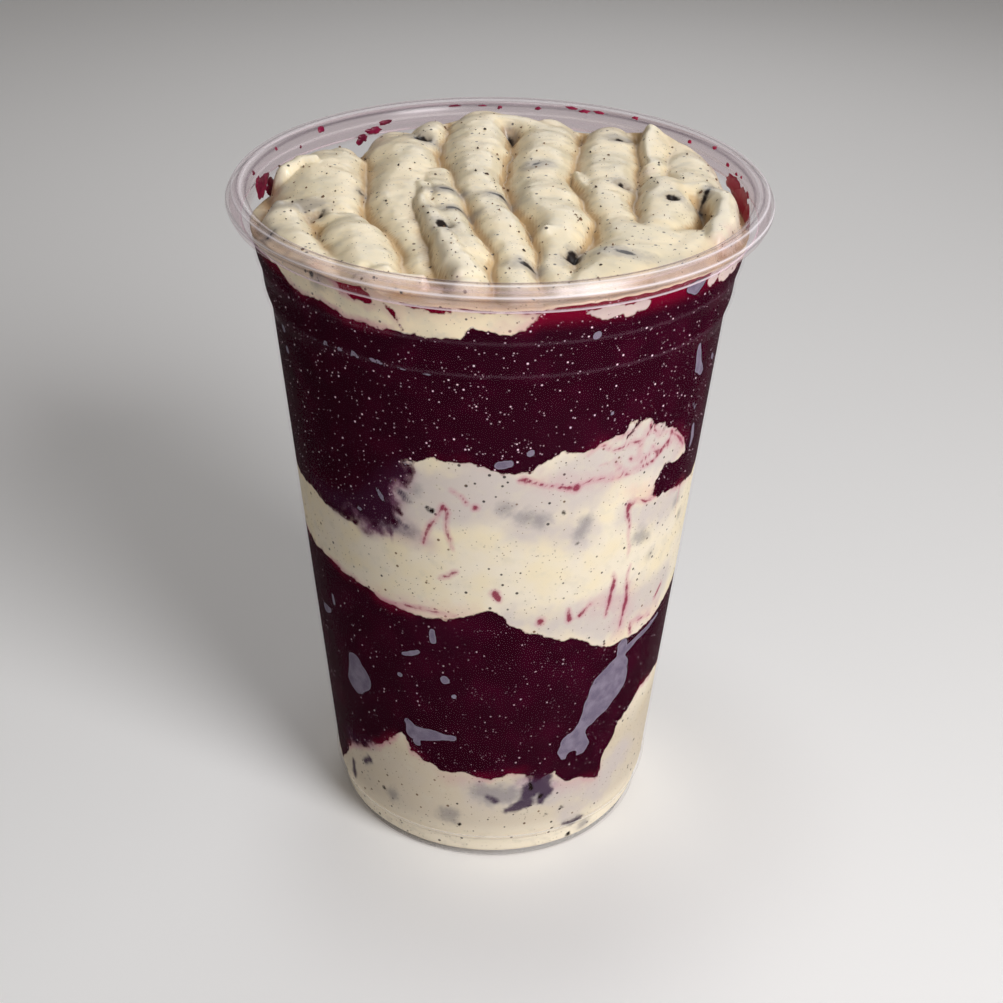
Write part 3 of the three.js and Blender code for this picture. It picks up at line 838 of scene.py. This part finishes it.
def clear_material():
    """Thin clear plastic: seen through, with gloss that grows at grazing angles, and painted highlights and
    painted dark lines at its bends.
    """
    made = Material("clear_cup", (0.9, 0.9, 0.92))
    times, between, over, spread = made.times, made.between, made.over, made.spread
    height = made.along("Z")
    lip = between(height, (LIP_FOOT - 0.3) * MM, (LIP_FOOT + 0.3) * MM)
    crown = between(height, (CUP_HEIGHT - 2.6) * MM, (CUP_HEIGHT - 1.8) * MM)
    # Painted highlights and painted dark lines along the bends: the bright ones as white haze, the dark ones
    # as a darker see-through colour
    line = made.field("line")
    painted_highlight_line = made.math("MAXIMUM", line, 0.0)
    painted_shade_line = made.math("MAXIMUM", times(line, -1.0), 0.0)

    waves = made.add("Bump", Strength=0.15, Distance=0.0006, Height=made.noise(45.0)).outputs[0]
    gloss = made.add("BsdfGlossy", Color=(1, 1, 1, 1), Roughness=spread(lip, 0.1, 0.22), Normal=waves)
    facing = made.add("LayerWeight", Blend=0.5).outputs["Facing"]
    gloss_share = spread(made.math("POWER", facing, 8.0), spread(lip, 0.003, 0.005), spread(lip, 0.15, 0.35))
    gloss_share = made.math("ADD", gloss_share, times(crown, 0.014))

    tint = over((0.985, 0.98, 0.985), (0.955, 0.925, 0.935), lip)
    see = made.add("BsdfTransparent", Color=over(tint, (0.25, 0.19, 0.24), painted_shade_line))
    milky = over((0.95, 0.5, 0.72), (0.97, 0.91, 0.95), lip)
    milk_and_highlight = made.add("BsdfDiffuse", Color=over(milky, (0.97, 0.91, 0.85), between(height, 0.05, 0.03)))
    # The haze is the lip's and crown's own whitish cloudiness, with the painted highlights of the bright
    # lines added
    haze_and_highlight = made.math("ADD", spread(lip, 0.001, 0.002), times(crown, 0.02))
    haze_and_highlight = made.math("ADD", haze_and_highlight, times(painted_highlight_line, 0.7), clamp=True)
    body = made.add("MixShader", in0=haze_and_highlight, in1=see.outputs[0], in2=milk_and_highlight.outputs[0])
    return made.finished(made.add("MixShader", in0=gloss_share, in1=body.outputs[0], in2=gloss.outputs[0]))


def crumb_material():
    """Small crumbs, from brown to nearly black."""
    made = Material("cookie_crumb", (0.03, 0.02, 0.015))
    here = made.over((0.030, 0.018, 0.012), SPECK_BROWN, made.between(made.noise(190.0, 1.0), 0.40, 0.55))
    return made.finished(made.add("BsdfPrincipled", Base_Color=here, Roughness=0.8))


def juice_material():
    """Thin smears of acai, brighter on the right, where more light falls through them."""
    made = Material("acai_juice", (0.13, 0.004, 0.02))
    depth = made.between(made.noise(300.0, 3.0), 0.35, 0.65)
    here = made.over((0.10, 0.002, 0.020), (0.22, 0.006, 0.045), depth)
    # Painted light: the smears on the right are coloured brighter, for the light that falls through them
    here = made.over(here, (0.36, 0.004, 0.05), made.between(made.along("X"), 0.0, 0.035))
    return made.finished(made.add("BsdfPrincipled", Base_Color=here, Roughness=0.35, Specular_IOR_Level=0.25))


cream_material = filling_material("cream", CREAM, CREAM, 0.0)
piped_material = filling_material("piped_cream", CREAM_TOP, CREAM_TOP, 0.45, 0.33)
acai_material = filling_material("acai", ACAI, CREAM, 0.0)
cup_material = clear_material()
crumb = crumb_material()
juice = juice_material()


# The cup

def build_cup():
    """The clear shell, with the strength of its painted highlight and dark lines stored at each point."""
    path, strength = with_lines(cup_profile())
    turns = TURNS[::2]
    rings = [ring(radius, height, turns) for radius, height in path]
    piece, _ = turned_piece("clear_cup_shell", rings, PANEL_RISE, FLOOR_TOP, cup_material)
    add_fields(piece, {"line": np.concatenate([[0], np.repeat(strength, len(turns)), [0]])})
    finish_piece(piece, ["cup"])


# The four bands under the top

# The lowest ring is drawn in by this much, to clear the bend of the foot
FOOT_BEVEL = 0.4

def build_band(name, index, material):
    """The band between boundary index - 1 and boundary index; band 0 stands on the cup's floor."""
    top_line = LINES[index]
    if index == 0:
        first = FLOOR_TOP - REACH
        foot_line = np.full(COLUMNS, first)
        foot_rings = [ring(FOOT_RADIUS * share, first) for share in (0.3, 0.6, 0.9)]
    else:
        first = BOUNDARIES[index - 1][0] + HALF_GAP
        foot_line = LINES[index - 1]
        foot_rings = boundary_rings(index - 1, HALF_GAP)[::-1]
    rows = max(3, round(float(np.mean(top_line - foot_line)) / ROW_STEP))
    wall_rings = []
    for share in np.linspace(0, 1, rows + 1):
        height = foot_line + (top_line - foot_line) * share
        radius = filling_radius(height)
        if index == 0 and share == 0:
            radius = radius - FOOT_BEVEL
        wall_rings.append(ring(radius, height))
    rings = foot_rings + wall_rings + boundary_rings(index, -HALF_GAP)
    piece, points = turned_piece(name + "_band", rings, first, BOUNDARIES[index][0] - HALF_GAP, material)
    sharpen(piece, COLUMNS, (len(foot_rings), len(foot_rings) + len(wall_rings) - 1))
    add_fields(piece, wall_fields(points))
    finish_piece(piece, [name])


# The piped cream on top. Each rope is a bent path of (x, y, half width, crest height)

ROPES = [
    [(-30, 25, 5, 125.2), (-31, 18, 8, 126.9), (-32, 8, 8.6, 127.4), (-30.5, -2, 8.4, 127),
     (-28, -9, 6.6, 126)],
    [(-36, -4, 5.2, 126.2), (-36.5, -11, 5.6, 126.8), (-34, -20, 5.6, 126.6), (-29.5, -29, 5.6, 126),
     (-25, -36, 4.6, 125)],
    [(-26, -12, 5.4, 126.6), (-24, -19, 7.2, 127.4), (-22, -27, 7.2, 127), (-19, -36, 6.6, 126)],
    [(-20, 33, 6, 126), (-18.5, 27, 7.6, 127.2), (-18, 18, 7.8, 127.4), (-17.5, 8, 7.6, 127.4),
     (-17.5, -2, 6.4, 127), (-16, -12, 5.6, 126.3), (-13.5, -20, 5, 125.8), (-11, -30, 4.6, 125)],
    [(-13.6, 39, 4.6, 126.2), (-14, 33, 5.2, 126.9), (-14, 26, 4.4, 126.4)],
    [(-11.5, 12, 3.8, 126.6), (-10.5, 0, 5, 127.6), (-9.5, -10, 5, 127.8), (-7, -20, 4.9, 127.8),
     (-5, -28, 4.6, 127.4), (-4.5, -38, 4.4, 126.4)],
    [(-4, 42, 6.6, 127.6), (-4.4, 32, 7.2, 127.9), (-4.6, 20, 6.8, 127.6), (-4.7, 10, 6, 127.4),
     (-3.4, 0, 5.4, 127.3), (-0.9, -10, 5.3, 127.3), (1.4, -20, 5.2, 127.1), (2.6, -30, 5, 126.6),
     (3, -39, 5, 125.8)],
    [(-2, 42, 5, 127.5), (4, 39.5, 4.4, 127.3), (9, 35, 4, 127)],
    [(9.6, 39, 6, 126.8), (9, 30, 7, 127.5), (7.8, 20, 6.8, 127.4), (6.8, 10, 7, 127.3), (8, 0, 7.2, 127.5),
     (10, -9, 6.8, 127.4), (10.3, -16, 5.8, 126.9), (9, -25, 4.4, 126), (9.5, -37, 4, 125)],
    [(21, 37, 6, 126.4), (20.6, 28, 7.4, 127.1), (19.8, 19, 7.6, 127.2), (19, 9, 7, 127.1),
     (18.8, -1, 5.8, 126.9), (20, -10, 5.6, 126.7), (22, -18, 6, 126.7)],
    [(29.4, 32, 2.6, 126.8), (29.4, 24, 3.2, 127.2), (28.6, 17, 3.8, 127.2), (27.5, 9, 3.8, 126.8)],
    [(34.5, 30, 4, 127), (34, 24, 5.8, 127), (34.6, 15, 6.2, 127.2), (34, 5, 6.6, 127.4)],
    [(28.7, 5, 5.6, 128.1), (29, -2, 6, 128), (28, -11, 6, 127.2)],
    [(36, 4, 4.2, 127.4), (38.4, -2, 3, 128.3), (38.4, -9, 3.2, 128.3), (36, -18, 3.6, 127.7)],
    [(26, -17, 8, 126.9), (20, -26, 9, 127.2), (14, -35, 6.6, 126)],
    [(33, -17, 7, 126.6), (27, -28, 7.4, 126)],
    [(-39, 9, 2.0, 127.6), (-36.6, 12.2, 2.4, 128.2), (-33.4, 12.6, 2.0, 128.1)],
    [(-13.6, 3, 1.8, 127.2), (-13.4, -5, 2.4, 127.9), (-12.2, -12, 2.6, 128.2), (-10.4, -17, 2.6, 128.3),
     (-8.8, -22, 2.8, 128.4), (-7.4, -27, 3.4, 128.5), (-6.2, -31, 4.2, 128.4), (-5.2, -35, 3.8, 127.6)],
    [(-22, -36, 1.8, 126.6), (-17, -37, 1.8, 127.0), (-12, -37.5, 1.6, 126.6)],
    [(13.6, 13, 1.6, 126.0), (14.8, 8, 1.8, 126.6), (16, 3, 1.4, 126.2)],
]
# Small hollows: (x, y, radius, depth)
EYES = [(-15, 29.6, 1.5, 1.8), (1.6, 36.4, 1.7, 2.0), (22.6, 29.4, 1.4, 1.0), (29.8, -3.4, 1.0, 1.5),
        (-9.2, -18.6, 1.1, 1.2), (11.6, -24.6, 1.2, 1.4), (35.6, -1.0, 1.0, 0.9), (-31, -8.8, 1.0, 1.4),
        (21.8, 5.6, 1.2, 1.4), (7.3, -17.4, 1.6, -1.2), (-17.6, -33, 1.4, -0.6), (-14, -34.4, 1.1, 0.8),
        (-21, -33, 0.9, 0.8), (-38.4, -6, 1.3, -0.7), (-28.6, -10.6, 1.2, -0.6)]
# How far a rope falls from its crest to its side, how square its section is, and how softly ropes meet
ROPE_DROP = 4.4
ROPE_ROUND = 2.8
CREAM_BLEND = 0.3
# Heights of the cream between the ropes, and a middle height of the crests
FLOOR_BACK = 119.8
FLOOR_FRONT = 124.2
CREST = 127.2


def rope_height(rope, x, y):
    """One rope's height, and far below it where the rope isn't."""
    best = np.full(x.shape, -1e3)
    for (x0, y0, width0, crest0), (x1, y1, width1, crest1) in zip(rope, rope[1:]):
        along_x, along_y = x1 - x0, y1 - y0
        share = ((x - x0) * along_x + (y - y0) * along_y) / (along_x ** 2 + along_y ** 2)
        share = np.clip(share, 0, 1)
        distance = np.hypot(x - x0 - along_x * share, y - y0 - along_y * share)
        width = width0 + (width1 - width0) * share
        crest = crest0 + (crest1 - crest0) * share
        best = np.maximum(best, crest - ROPE_DROP * (distance / width) ** ROPE_ROUND)
    return best


def peak_height(x, y):
    """The pulled-up sheet at the back right: steep on its left, sloping off to its right."""
    ridge = np.interp(y, [14.7, 28, 38.6], [26.4, 26.9, 28.9])
    crest = np.interp(y, [12, 15, 28, 34, 37.4, 38.6, 40.4], [118, 127.0, 128.2, 128.9, 130.0, 128.6, 118])
    aside = x - ridge
    return crest + 0.9 - 1.5 * np.hypot(aside, 0.8) + 1.05 * aside


def cream_height(x, y):
    """The piped surface before its fine wrinkles."""
    floor = FLOOR_BACK + (FLOOR_FRONT - FLOOR_BACK) * smoothstep(-30, 30, -y)
    total = np.exp((floor - CUP_HEIGHT) / CREAM_BLEND)
    for rope in ROPES:
        total = total + np.exp((rope_height(rope, x, y) - CUP_HEIGHT) / CREAM_BLEND)
    total = total + np.exp((peak_height(x, y) - CUP_HEIGHT) / CREAM_BLEND)
    return CUP_HEIGHT + CREAM_BLEND * np.log(total)


def fine_cream_height(points):
    """The piped surface with the wander of its ropes and the soft folds across them."""
    points = np.asarray(points, dtype=float)
    flat = np.column_stack([points[:, :2], np.zeros(len(points))])
    x = points[:, 0] + 1.0 * ripple(flat, 7.0, 1) + 0.3 * ripple(flat, 2.4, 2)
    y = points[:, 1] + 0.8 * ripple(flat, 7.0, 3)
    height = cream_height(x, y)
    height += 0.55 * ripple(flat, 7.5, 4) + 0.17 * ripple(flat, 3.4, 5)
    height += 0.05 * ripple(flat, 1.6, 6) + 0.02 * ripple(flat, 0.8, 7)
    height -= 0.02 * smoothstep(0.12, 0, np.abs(ripple(flat * (0.4, 1, 1), 4.6, 9)))
    for eye_x, eye_y, radius, depth in EYES:
        away = np.hypot(points[:, 0] - eye_x, points[:, 1] - eye_y) / radius
        height -= depth * np.exp(-away ** 2)
    return np.minimum(height, CUP_HEIGHT - 0.05)


# Cookie flakes in the cream: (x, y, half length, half width, turn in degrees, share that shows dark)

FLAKES = [
    (-34.2, -6.4, 3.7, 1.9, 12, 0.0), (-30.6, -8.8, 1.5, 0.9, 50, 0.75), (-14.8, 29.2, 3.4, 2.0, 125, 0.75),
    (-9.4, -1.0, 3.0, 1.7, -4, 0.45), (-7.4, -10.3, 2.8, 1.3, 6, 0.6), (-9.3, -18.4, 2.1, 1.2, 122, 0.8),
    (1.7, 36.2, 1.6, 1.3, 100, 0.7), (4.6, -30.4, 2.2, 1.4, -12, 0.65), (6.6, 13.6, 2.3, 1.8, 40, 0.45),
    (22.6, 29.6, 2.3, 2.4, 80, 0.5), (21.8, 5.6, 1.8, 1.5, 100, 0.5), (-0.4, -2.1, 2.2, 1.1, -12, 0.65),
    (20.2, -27.2, 2.8, 1.3, -14, 0.6), (-24.5, 2, 0.8, 0.5, 70, 0.8), (11.6, -24.8, 2.6, 1.2, 60, 0.85),
    (-38, -18.8, 1.2, 0.7, 30, 0.6), (35.6, -0.6, 2.2, 0.4, 62, 0.8), (29.8, -3.4, 1.4, 1.3, 0, 0.85),
]


FILM = 0.7


def flake_distances(points):
    """Signed distances, roughly, to the nearest flake's outline and to its dark part, seen from above.

    The outline is widened by the film of cream that the flake shows grey through.
    """
    whole = np.full(len(points), FIELD_REACH)
    dark = whole.copy()
    for x, y, half_length, half_width, turn, dark_share in FLAKES:
        cosine, sine = math.cos(math.radians(turn)), math.sin(math.radians(turn))
        across, up = points[:, 0] - x, points[:, 1] - y
        along = (across * cosine + up * sine) / half_length
        beside = (up * cosine - across * sine) / half_width
        whole = np.minimum(whole, (np.hypot(along, beside) - 1) * half_width - FILM)
        if dark_share:
            away = np.hypot(along / dark_share, (beside - 0.25 * (1 - dark_share)) / dark_share ** 1.5)
            dark = np.minimum(dark, (away - 1) * half_width * dark_share)
    return whole, dark


# Pink juice on the piped cream: (x, y, radius)
PINK_SPOTS = [
    (-14, -35.6, 0.6), (-10.6, -37.2, 1.4), (-7.8, -38.4, 1.2), (-29, -32, 0.6), (38.6, -16.4, 0.5),
    (36.6, -20, 0.5), (39.6, 14, 1.0), (38, 20, 1.2), (26.6, 12.6, 0.5), (29.6, 37.4, 0.5),
]


def spot_distance(points):
    """Signed distance to the nearest pink spot, seen from above."""
    best = np.full(len(points), FIELD_REACH)
    for x, y, radius in PINK_SPOTS:
        best = np.minimum(best, np.hypot(points[:, 0] - x, points[:, 1] - y) - radius)
    return best


RELIEF_SPREAD = 2.2
RELIEF_STEP = 0.5


def relief_on_top(points):
    """How far the piped surface stands above its surroundings, averaged over a few millimetres."""
    step, half = RELIEF_STEP, round(RIM_RADIUS / RELIEF_STEP) - 1
    axis = np.arange(-half, half + 1) * step
    x, y = np.meshgrid(axis, axis, indexing="ij")
    heights = fine_cream_height(np.column_stack([x.ravel(), y.ravel(), 0 * x.ravel()])).reshape(x.shape)
    reach = np.arange(-12, 13) * step
    kernel = np.exp(-(reach / RELIEF_SPREAD) ** 2 / 2)
    kernel = kernel / kernel.sum()
    smooth = heights - CREST
    for direction in (0, 1):
        smooth = np.apply_along_axis(lambda row: np.convolve(row, kernel, "same"), direction, smooth)
    relief = heights - CREST - smooth
    column = np.clip(np.rint(points[:, 0] / step).astype(int) + half, 0, 2 * half)
    row = np.clip(np.rint(points[:, 1] / step).astype(int) + half, 0, 2 * half)
    return relief[column, row]


def crumb_shapes(rng, count):
    """Small angular lumps, each as points and triangles."""
    shapes = []
    for _ in range(count):
        lump = bmesh.new()
        bmesh.ops.create_icosphere(lump, subdivisions=1, radius=1)
        points = np.array([vert.co[:] for vert in lump.verts])
        points = points * [[rng.uniform(0.7, 1.15)] for _ in points]
        shapes.append((points, [[vert.index for vert in face.verts] for face in lump.faces]))
        lump.free()
    return shapes


CRUMBS = 430
CRUMB_FIELD = 42
LEAST_CRUMB = 0.06
MOST_CRUMB = 0.34


def build_crumbs():
    """Cookie crumbs over the piped cream, and one short row of them."""
    rng = random.Random(8)
    shapes = crumb_shapes(rng, 7)
    spots = []
    while len(spots) < CRUMBS:
        x, y = rng.uniform(-CRUMB_FIELD, CRUMB_FIELD), rng.uniform(-CRUMB_FIELD, CRUMB_FIELD)
        if math.hypot(x, y) < CRUMB_FIELD:
            spots.append((x, y))
    for i in range(9):
        spots.append((12 + 0.5 * rng.uniform(-1, 1) + 0.2 * i, -10 - 0.35 * i))
    heights = fine_cream_height(np.array([(x, y, 0) for x, y in spots]))
    parts = []
    for (x, y), height in zip(spots, heights):
        points, faces = rng.choice(shapes)
        size = min(LEAST_CRUMB + rng.expovariate(12), MOST_CRUMB)
        turn = Euler([rng.uniform(0, math.tau) for _ in range(3)]).to_matrix()
        stretch = (rng.uniform(0.8, 1.6), rng.uniform(0.8, 1.1), 0.7)
        placed = (points * stretch * size) @ np.array(turn).T + (x, y, height + 0.15 * size)
        placed[:, 2] = np.minimum(placed[:, 2], CUP_HEIGHT - 0.05)
        parts.append((placed, faces))
    finish_piece(joined("cookie_crumbs", parts, crumb, smooth=False))


# Acai smeared on the wall above the cream: (angle, height, half along, half up)

SMEARS = [
    (-101, 124.0, 3.4, 1.8), (-97.5, 125.6, 1.6, 0.9), (-106, 122.2, 2.6, 1.6), (-95, 128, 0.6, 0.4),
    (-111, 128.4, 0.4, 0.3), (-129, 128.2, 0.9, 0.5), (-121, 126.5, 0.3, 0.3), (-142, 124.2, 1.3, 0.9),
    (-145.4, 125.4, 1.7, 0.7), (-149, 126.6, 1.4, 0.5), (-168, 128.4, 1.2, 0.2), (-175, 128.3, 0.8, 0.15),
    (-179.5, 128, 0.5, 0.3), (170.7, 128.1, 0.6, 0.3), (162, 128.7, 1.2, 0.25), (158.5, 128.4, 1.0, 0.3),
    (154.5, 128.6, 1.2, 0.25), (144.5, 128.9, 0.7, 0.3), (136, 127.5, 0.25, 0.25), (126, 127.8, 0.5, 0.35),
    (117, 128.7, 0.6, 0.25), (105, 125.0, 3.6, 1.5), (98, 123.8, 5.5, 2.5), (91, 123.2, 3.6, 1.8),
    (86, 122.6, 2.6, 1.4), (109, 127.5, 0.5, 0.4), (100, 127.6, 0.35, 0.25), (103.5, 127.2, 0.5, 0.3),
    (93, 126.3, 1.2, 0.5),
]
SMEAR_DEPTH = 0.4


def smear_part(rng, angle, height, half_along, half_up):
    """A flat blob on the cup's inner face, its border a little inside the plastic."""
    spokes, rings = 36, 6
    shift = rng.uniform(0, 50)
    rows = [(0.0, 0.0, SMEAR_DEPTH)]
    for ring_index in range(1, rings + 1):
        share = ring_index / rings
        for spoke in range(spokes):
            turn = math.tau * spoke / spokes
            wobble = noise.noise(Vector((math.cos(turn) * 1.1 + shift, math.sin(turn) * 1.1, 0)))
            ragged = noise.noise(Vector((math.cos(turn) * 3.5 + shift, math.sin(turn) * 3.5, 5)))
            reach = share * (1 + 0.5 * wobble + 0.22 * ragged)
            depth = SMEAR_DEPTH * (1 - share ** 3) - 0.06 * share
            rows.append((half_along * reach * math.cos(turn), half_up * reach * math.sin(turn), depth))
    along, up, depth = np.array(rows).T
    heights = np.minimum(height + up, CUP_HEIGHT - 0.25)
    radius = inner_face(heights) - depth * min(1, 0.5 + 0.25 * half_up)
    turns = math.radians(angle) + along / 43.5
    points = np.column_stack([radius * np.sin(turns), -radius * np.cos(turns), heights])
    faces = []
    for spoke in range(spokes):
        after = (spoke + 1) % spokes
        faces.append([0, 1 + after, 1 + spoke])
        for ring_index in range(rings - 1):
            low, high = 1 + ring_index * spokes, 1 + (ring_index + 1) * spokes
            faces.append([low + spoke, low + after, high + after, high + spoke])
    return points, faces


def build_smears():
    """All smears of acai on the wall, as one piece."""
    rng = random.Random(3)
    parts = [smear_part(rng, *smear) for smear in SMEARS]
    finish_piece(joined("acai_smears", parts, juice))


# Rings up the side and across the top
WALL_ROWS = 14
TOP_RINGS = 122
# Notches at the wall are filled over this many columns each way, and the top meets the wall this far in
NOTCH_SPAN = 10
NEAR_WALL = 2.4


def build_top_cream():
    """The piped cream: its foot on the upper acai, its side on the wall, and its ropes on top."""
    wall_radius = NECK_RADIUS - WALL + REACH
    foot_line = LINES[3]
    rim = fine_cream_height(ring(wall_radius, 0))
    around = [np.roll(rim, step) for step in range(-NOTCH_SPAN, NOTCH_SPAN + 1)]
    rim = np.maximum(rim, np.mean(around, axis=0))
    rim = np.maximum(rim, foot_line + 0.8)
    first = BOUNDARIES[3][0] + HALF_GAP
    rings = boundary_rings(3, HALF_GAP)[::-1]
    for share in np.linspace(0, 1, WALL_ROWS + 1):
        height = foot_line + (rim - 0.5 - foot_line) * share
        rings.append(ring(filling_radius(height), height))
    wall_count = len(rings)
    rings.append(ring(wall_radius - 0.08, rim - 0.2))
    for radius in np.linspace(wall_radius - 0.3, 0.35, TOP_RINGS):
        flat = ring(radius, 0)
        height = fine_cream_height(flat)
        near_wall = smoothstep(NEAR_WALL, 0, wall_radius - radius)
        rings.append(ring(radius, height + (rim - height) * near_wall))
    last = float(fine_cream_height(np.zeros((1, 3)))[0])
    piece, points = turned_piece("piped_cream", rings, first, last, piped_material)
    sharpen(piece, COLUMNS, (len(BOUNDARY_RINGS),))
    fields = wall_fields(points)
    on_top = np.arange(len(points)) > wall_count * COLUMNS
    for values in fields.values():
        values[on_top] = FIELD_REACH
    relief = relief_on_top(points[on_top])
    fields["edge"][on_top] = -FIELD_REACH
    fields["shadow"][on_top], fields["chip"][on_top] = flake_distances(points[on_top])
    fields["wash"][on_top] = spot_distance(points[on_top])
    # Painted shade where the surface lies below its surroundings, and painted highlight where it stands above
    # them
    fields["crease_shade"][on_top] = smoothstep(-0.05, -0.95, relief)
    fields["crest"][on_top] = smoothstep(0.15, 0.8, relief)
    add_fields(piece, fields)
    finish_piece(piece, ["cream_top"])


# Camera, lights and floor

PHOTO_SIZE = 1003
FOCAL_LENGTH = 1664.9
CAMERA_DISTANCE = 322.2
CAMERA_ELEVATION = 30.8
PAN = -6.8
TILT = -3.3
ROLL = -1.06
SENSOR = 36.0


def build_camera():
    """The photograph's viewpoint. Focal length, pan and tilt are in pixels of the square photograph."""
    rise = math.radians(CAMERA_ELEVATION)
    back = Vector((0, -math.cos(rise), math.sin(rise)))
    right = Vector((1, 0, 0))
    up = back.cross(right)
    place = Vector((0, 0, CUP_HEIGHT / 2)) + back * CAMERA_DISTANCE
    turn = Matrix.Rotation(math.atan2(PAN, FOCAL_LENGTH), 3, up)
    back, right = turn @ back, turn @ right
    turn = Matrix.Rotation(math.atan2(TILT, FOCAL_LENGTH), 3, right)
    back, up = turn @ back, turn @ up
    turn = Matrix.Rotation(math.radians(ROLL), 3, -back)
    right, up = turn @ right, turn @ up
    data = bpy.data.cameras.new("camera")
    data.sensor_width = SENSOR
    data.lens = FOCAL_LENGTH / PHOTO_SIZE * SENSOR
    data.clip_start = 0.01
    camera = bpy.data.objects.new("camera", data)
    camera.matrix_world = Matrix.Translation(place * MM) @ Matrix((right, up, back)).transposed().to_4x4()
    bpy.context.collection.objects.link(camera)
    bpy.context.scene.camera = camera


def add_light(name, place, size, power, colour=(1, 1, 1)):
    """A soft round light at a place in millimetres, aimed at the middle of the cup."""
    data = bpy.data.lights.new(name, "AREA")
    data.shape = "DISK"
    data.size = size * MM
    data.energy = power
    data.color = colour
    light = bpy.data.objects.new(name, data)
    spot = Vector(place)
    aim = Vector((0, 0, CUP_HEIGHT * 0.6)) - spot
    light.matrix_world = Matrix.Translation(spot * MM) @ aim.to_track_quat("-Z", "Y").to_matrix().to_4x4()
    bpy.context.collection.objects.link(light)


def build_studio():
    """A large key light from the right of the camera, two weak ones, and a warm pale surrounding."""
    add_light("key", (360, -430, 450), 330, 4.3)
    add_light("back", (60, 520, 420), 380, 0.55)
    add_light("top", (-60, 60, 760), 160, 0.6)
    world = bpy.data.worlds.new("studio")
    world.use_nodes = True
    world.node_tree.nodes["Background"].inputs["Color"].default_value = (0.96, 0.89, 0.82, 1)
    world.node_tree.nodes["Background"].inputs["Strength"].default_value = 0.09
    bpy.context.scene.world = world
    bpy.context.scene.view_settings.view_transform = "Standard"


def build_floor():
    """The plain pale floor, which isn't part of the object."""
    made = Material("floor", (0.8, 0.8, 0.8))
    material = made.finished(made.add(
        "BsdfPrincipled", Base_Color=(0.88, 0.87, 0.87, 1), Roughness=0.6,
        Emission_Color=(0.95, 0.93, 0.92, 1), Emission_Strength=0.05,
    ))
    half = 3000
    corners = [(-half, -half, 0), (half, -half, 0), (half, half, 0), (-half, half, 0)]
    floor = make_mesh("floor", corners, [(0, 1, 2, 3)], material, smooth=False)


build_camera()
build_studio()
build_floor()
build_cup()
build_band("cream_bottom", 0, cream_material)
build_band("acai_lower", 1, acai_material)
build_band("cream_middle", 2, cream_material)
build_band("acai_upper", 3, acai_material)
build_top_cream()
build_crumbs()
build_smears()
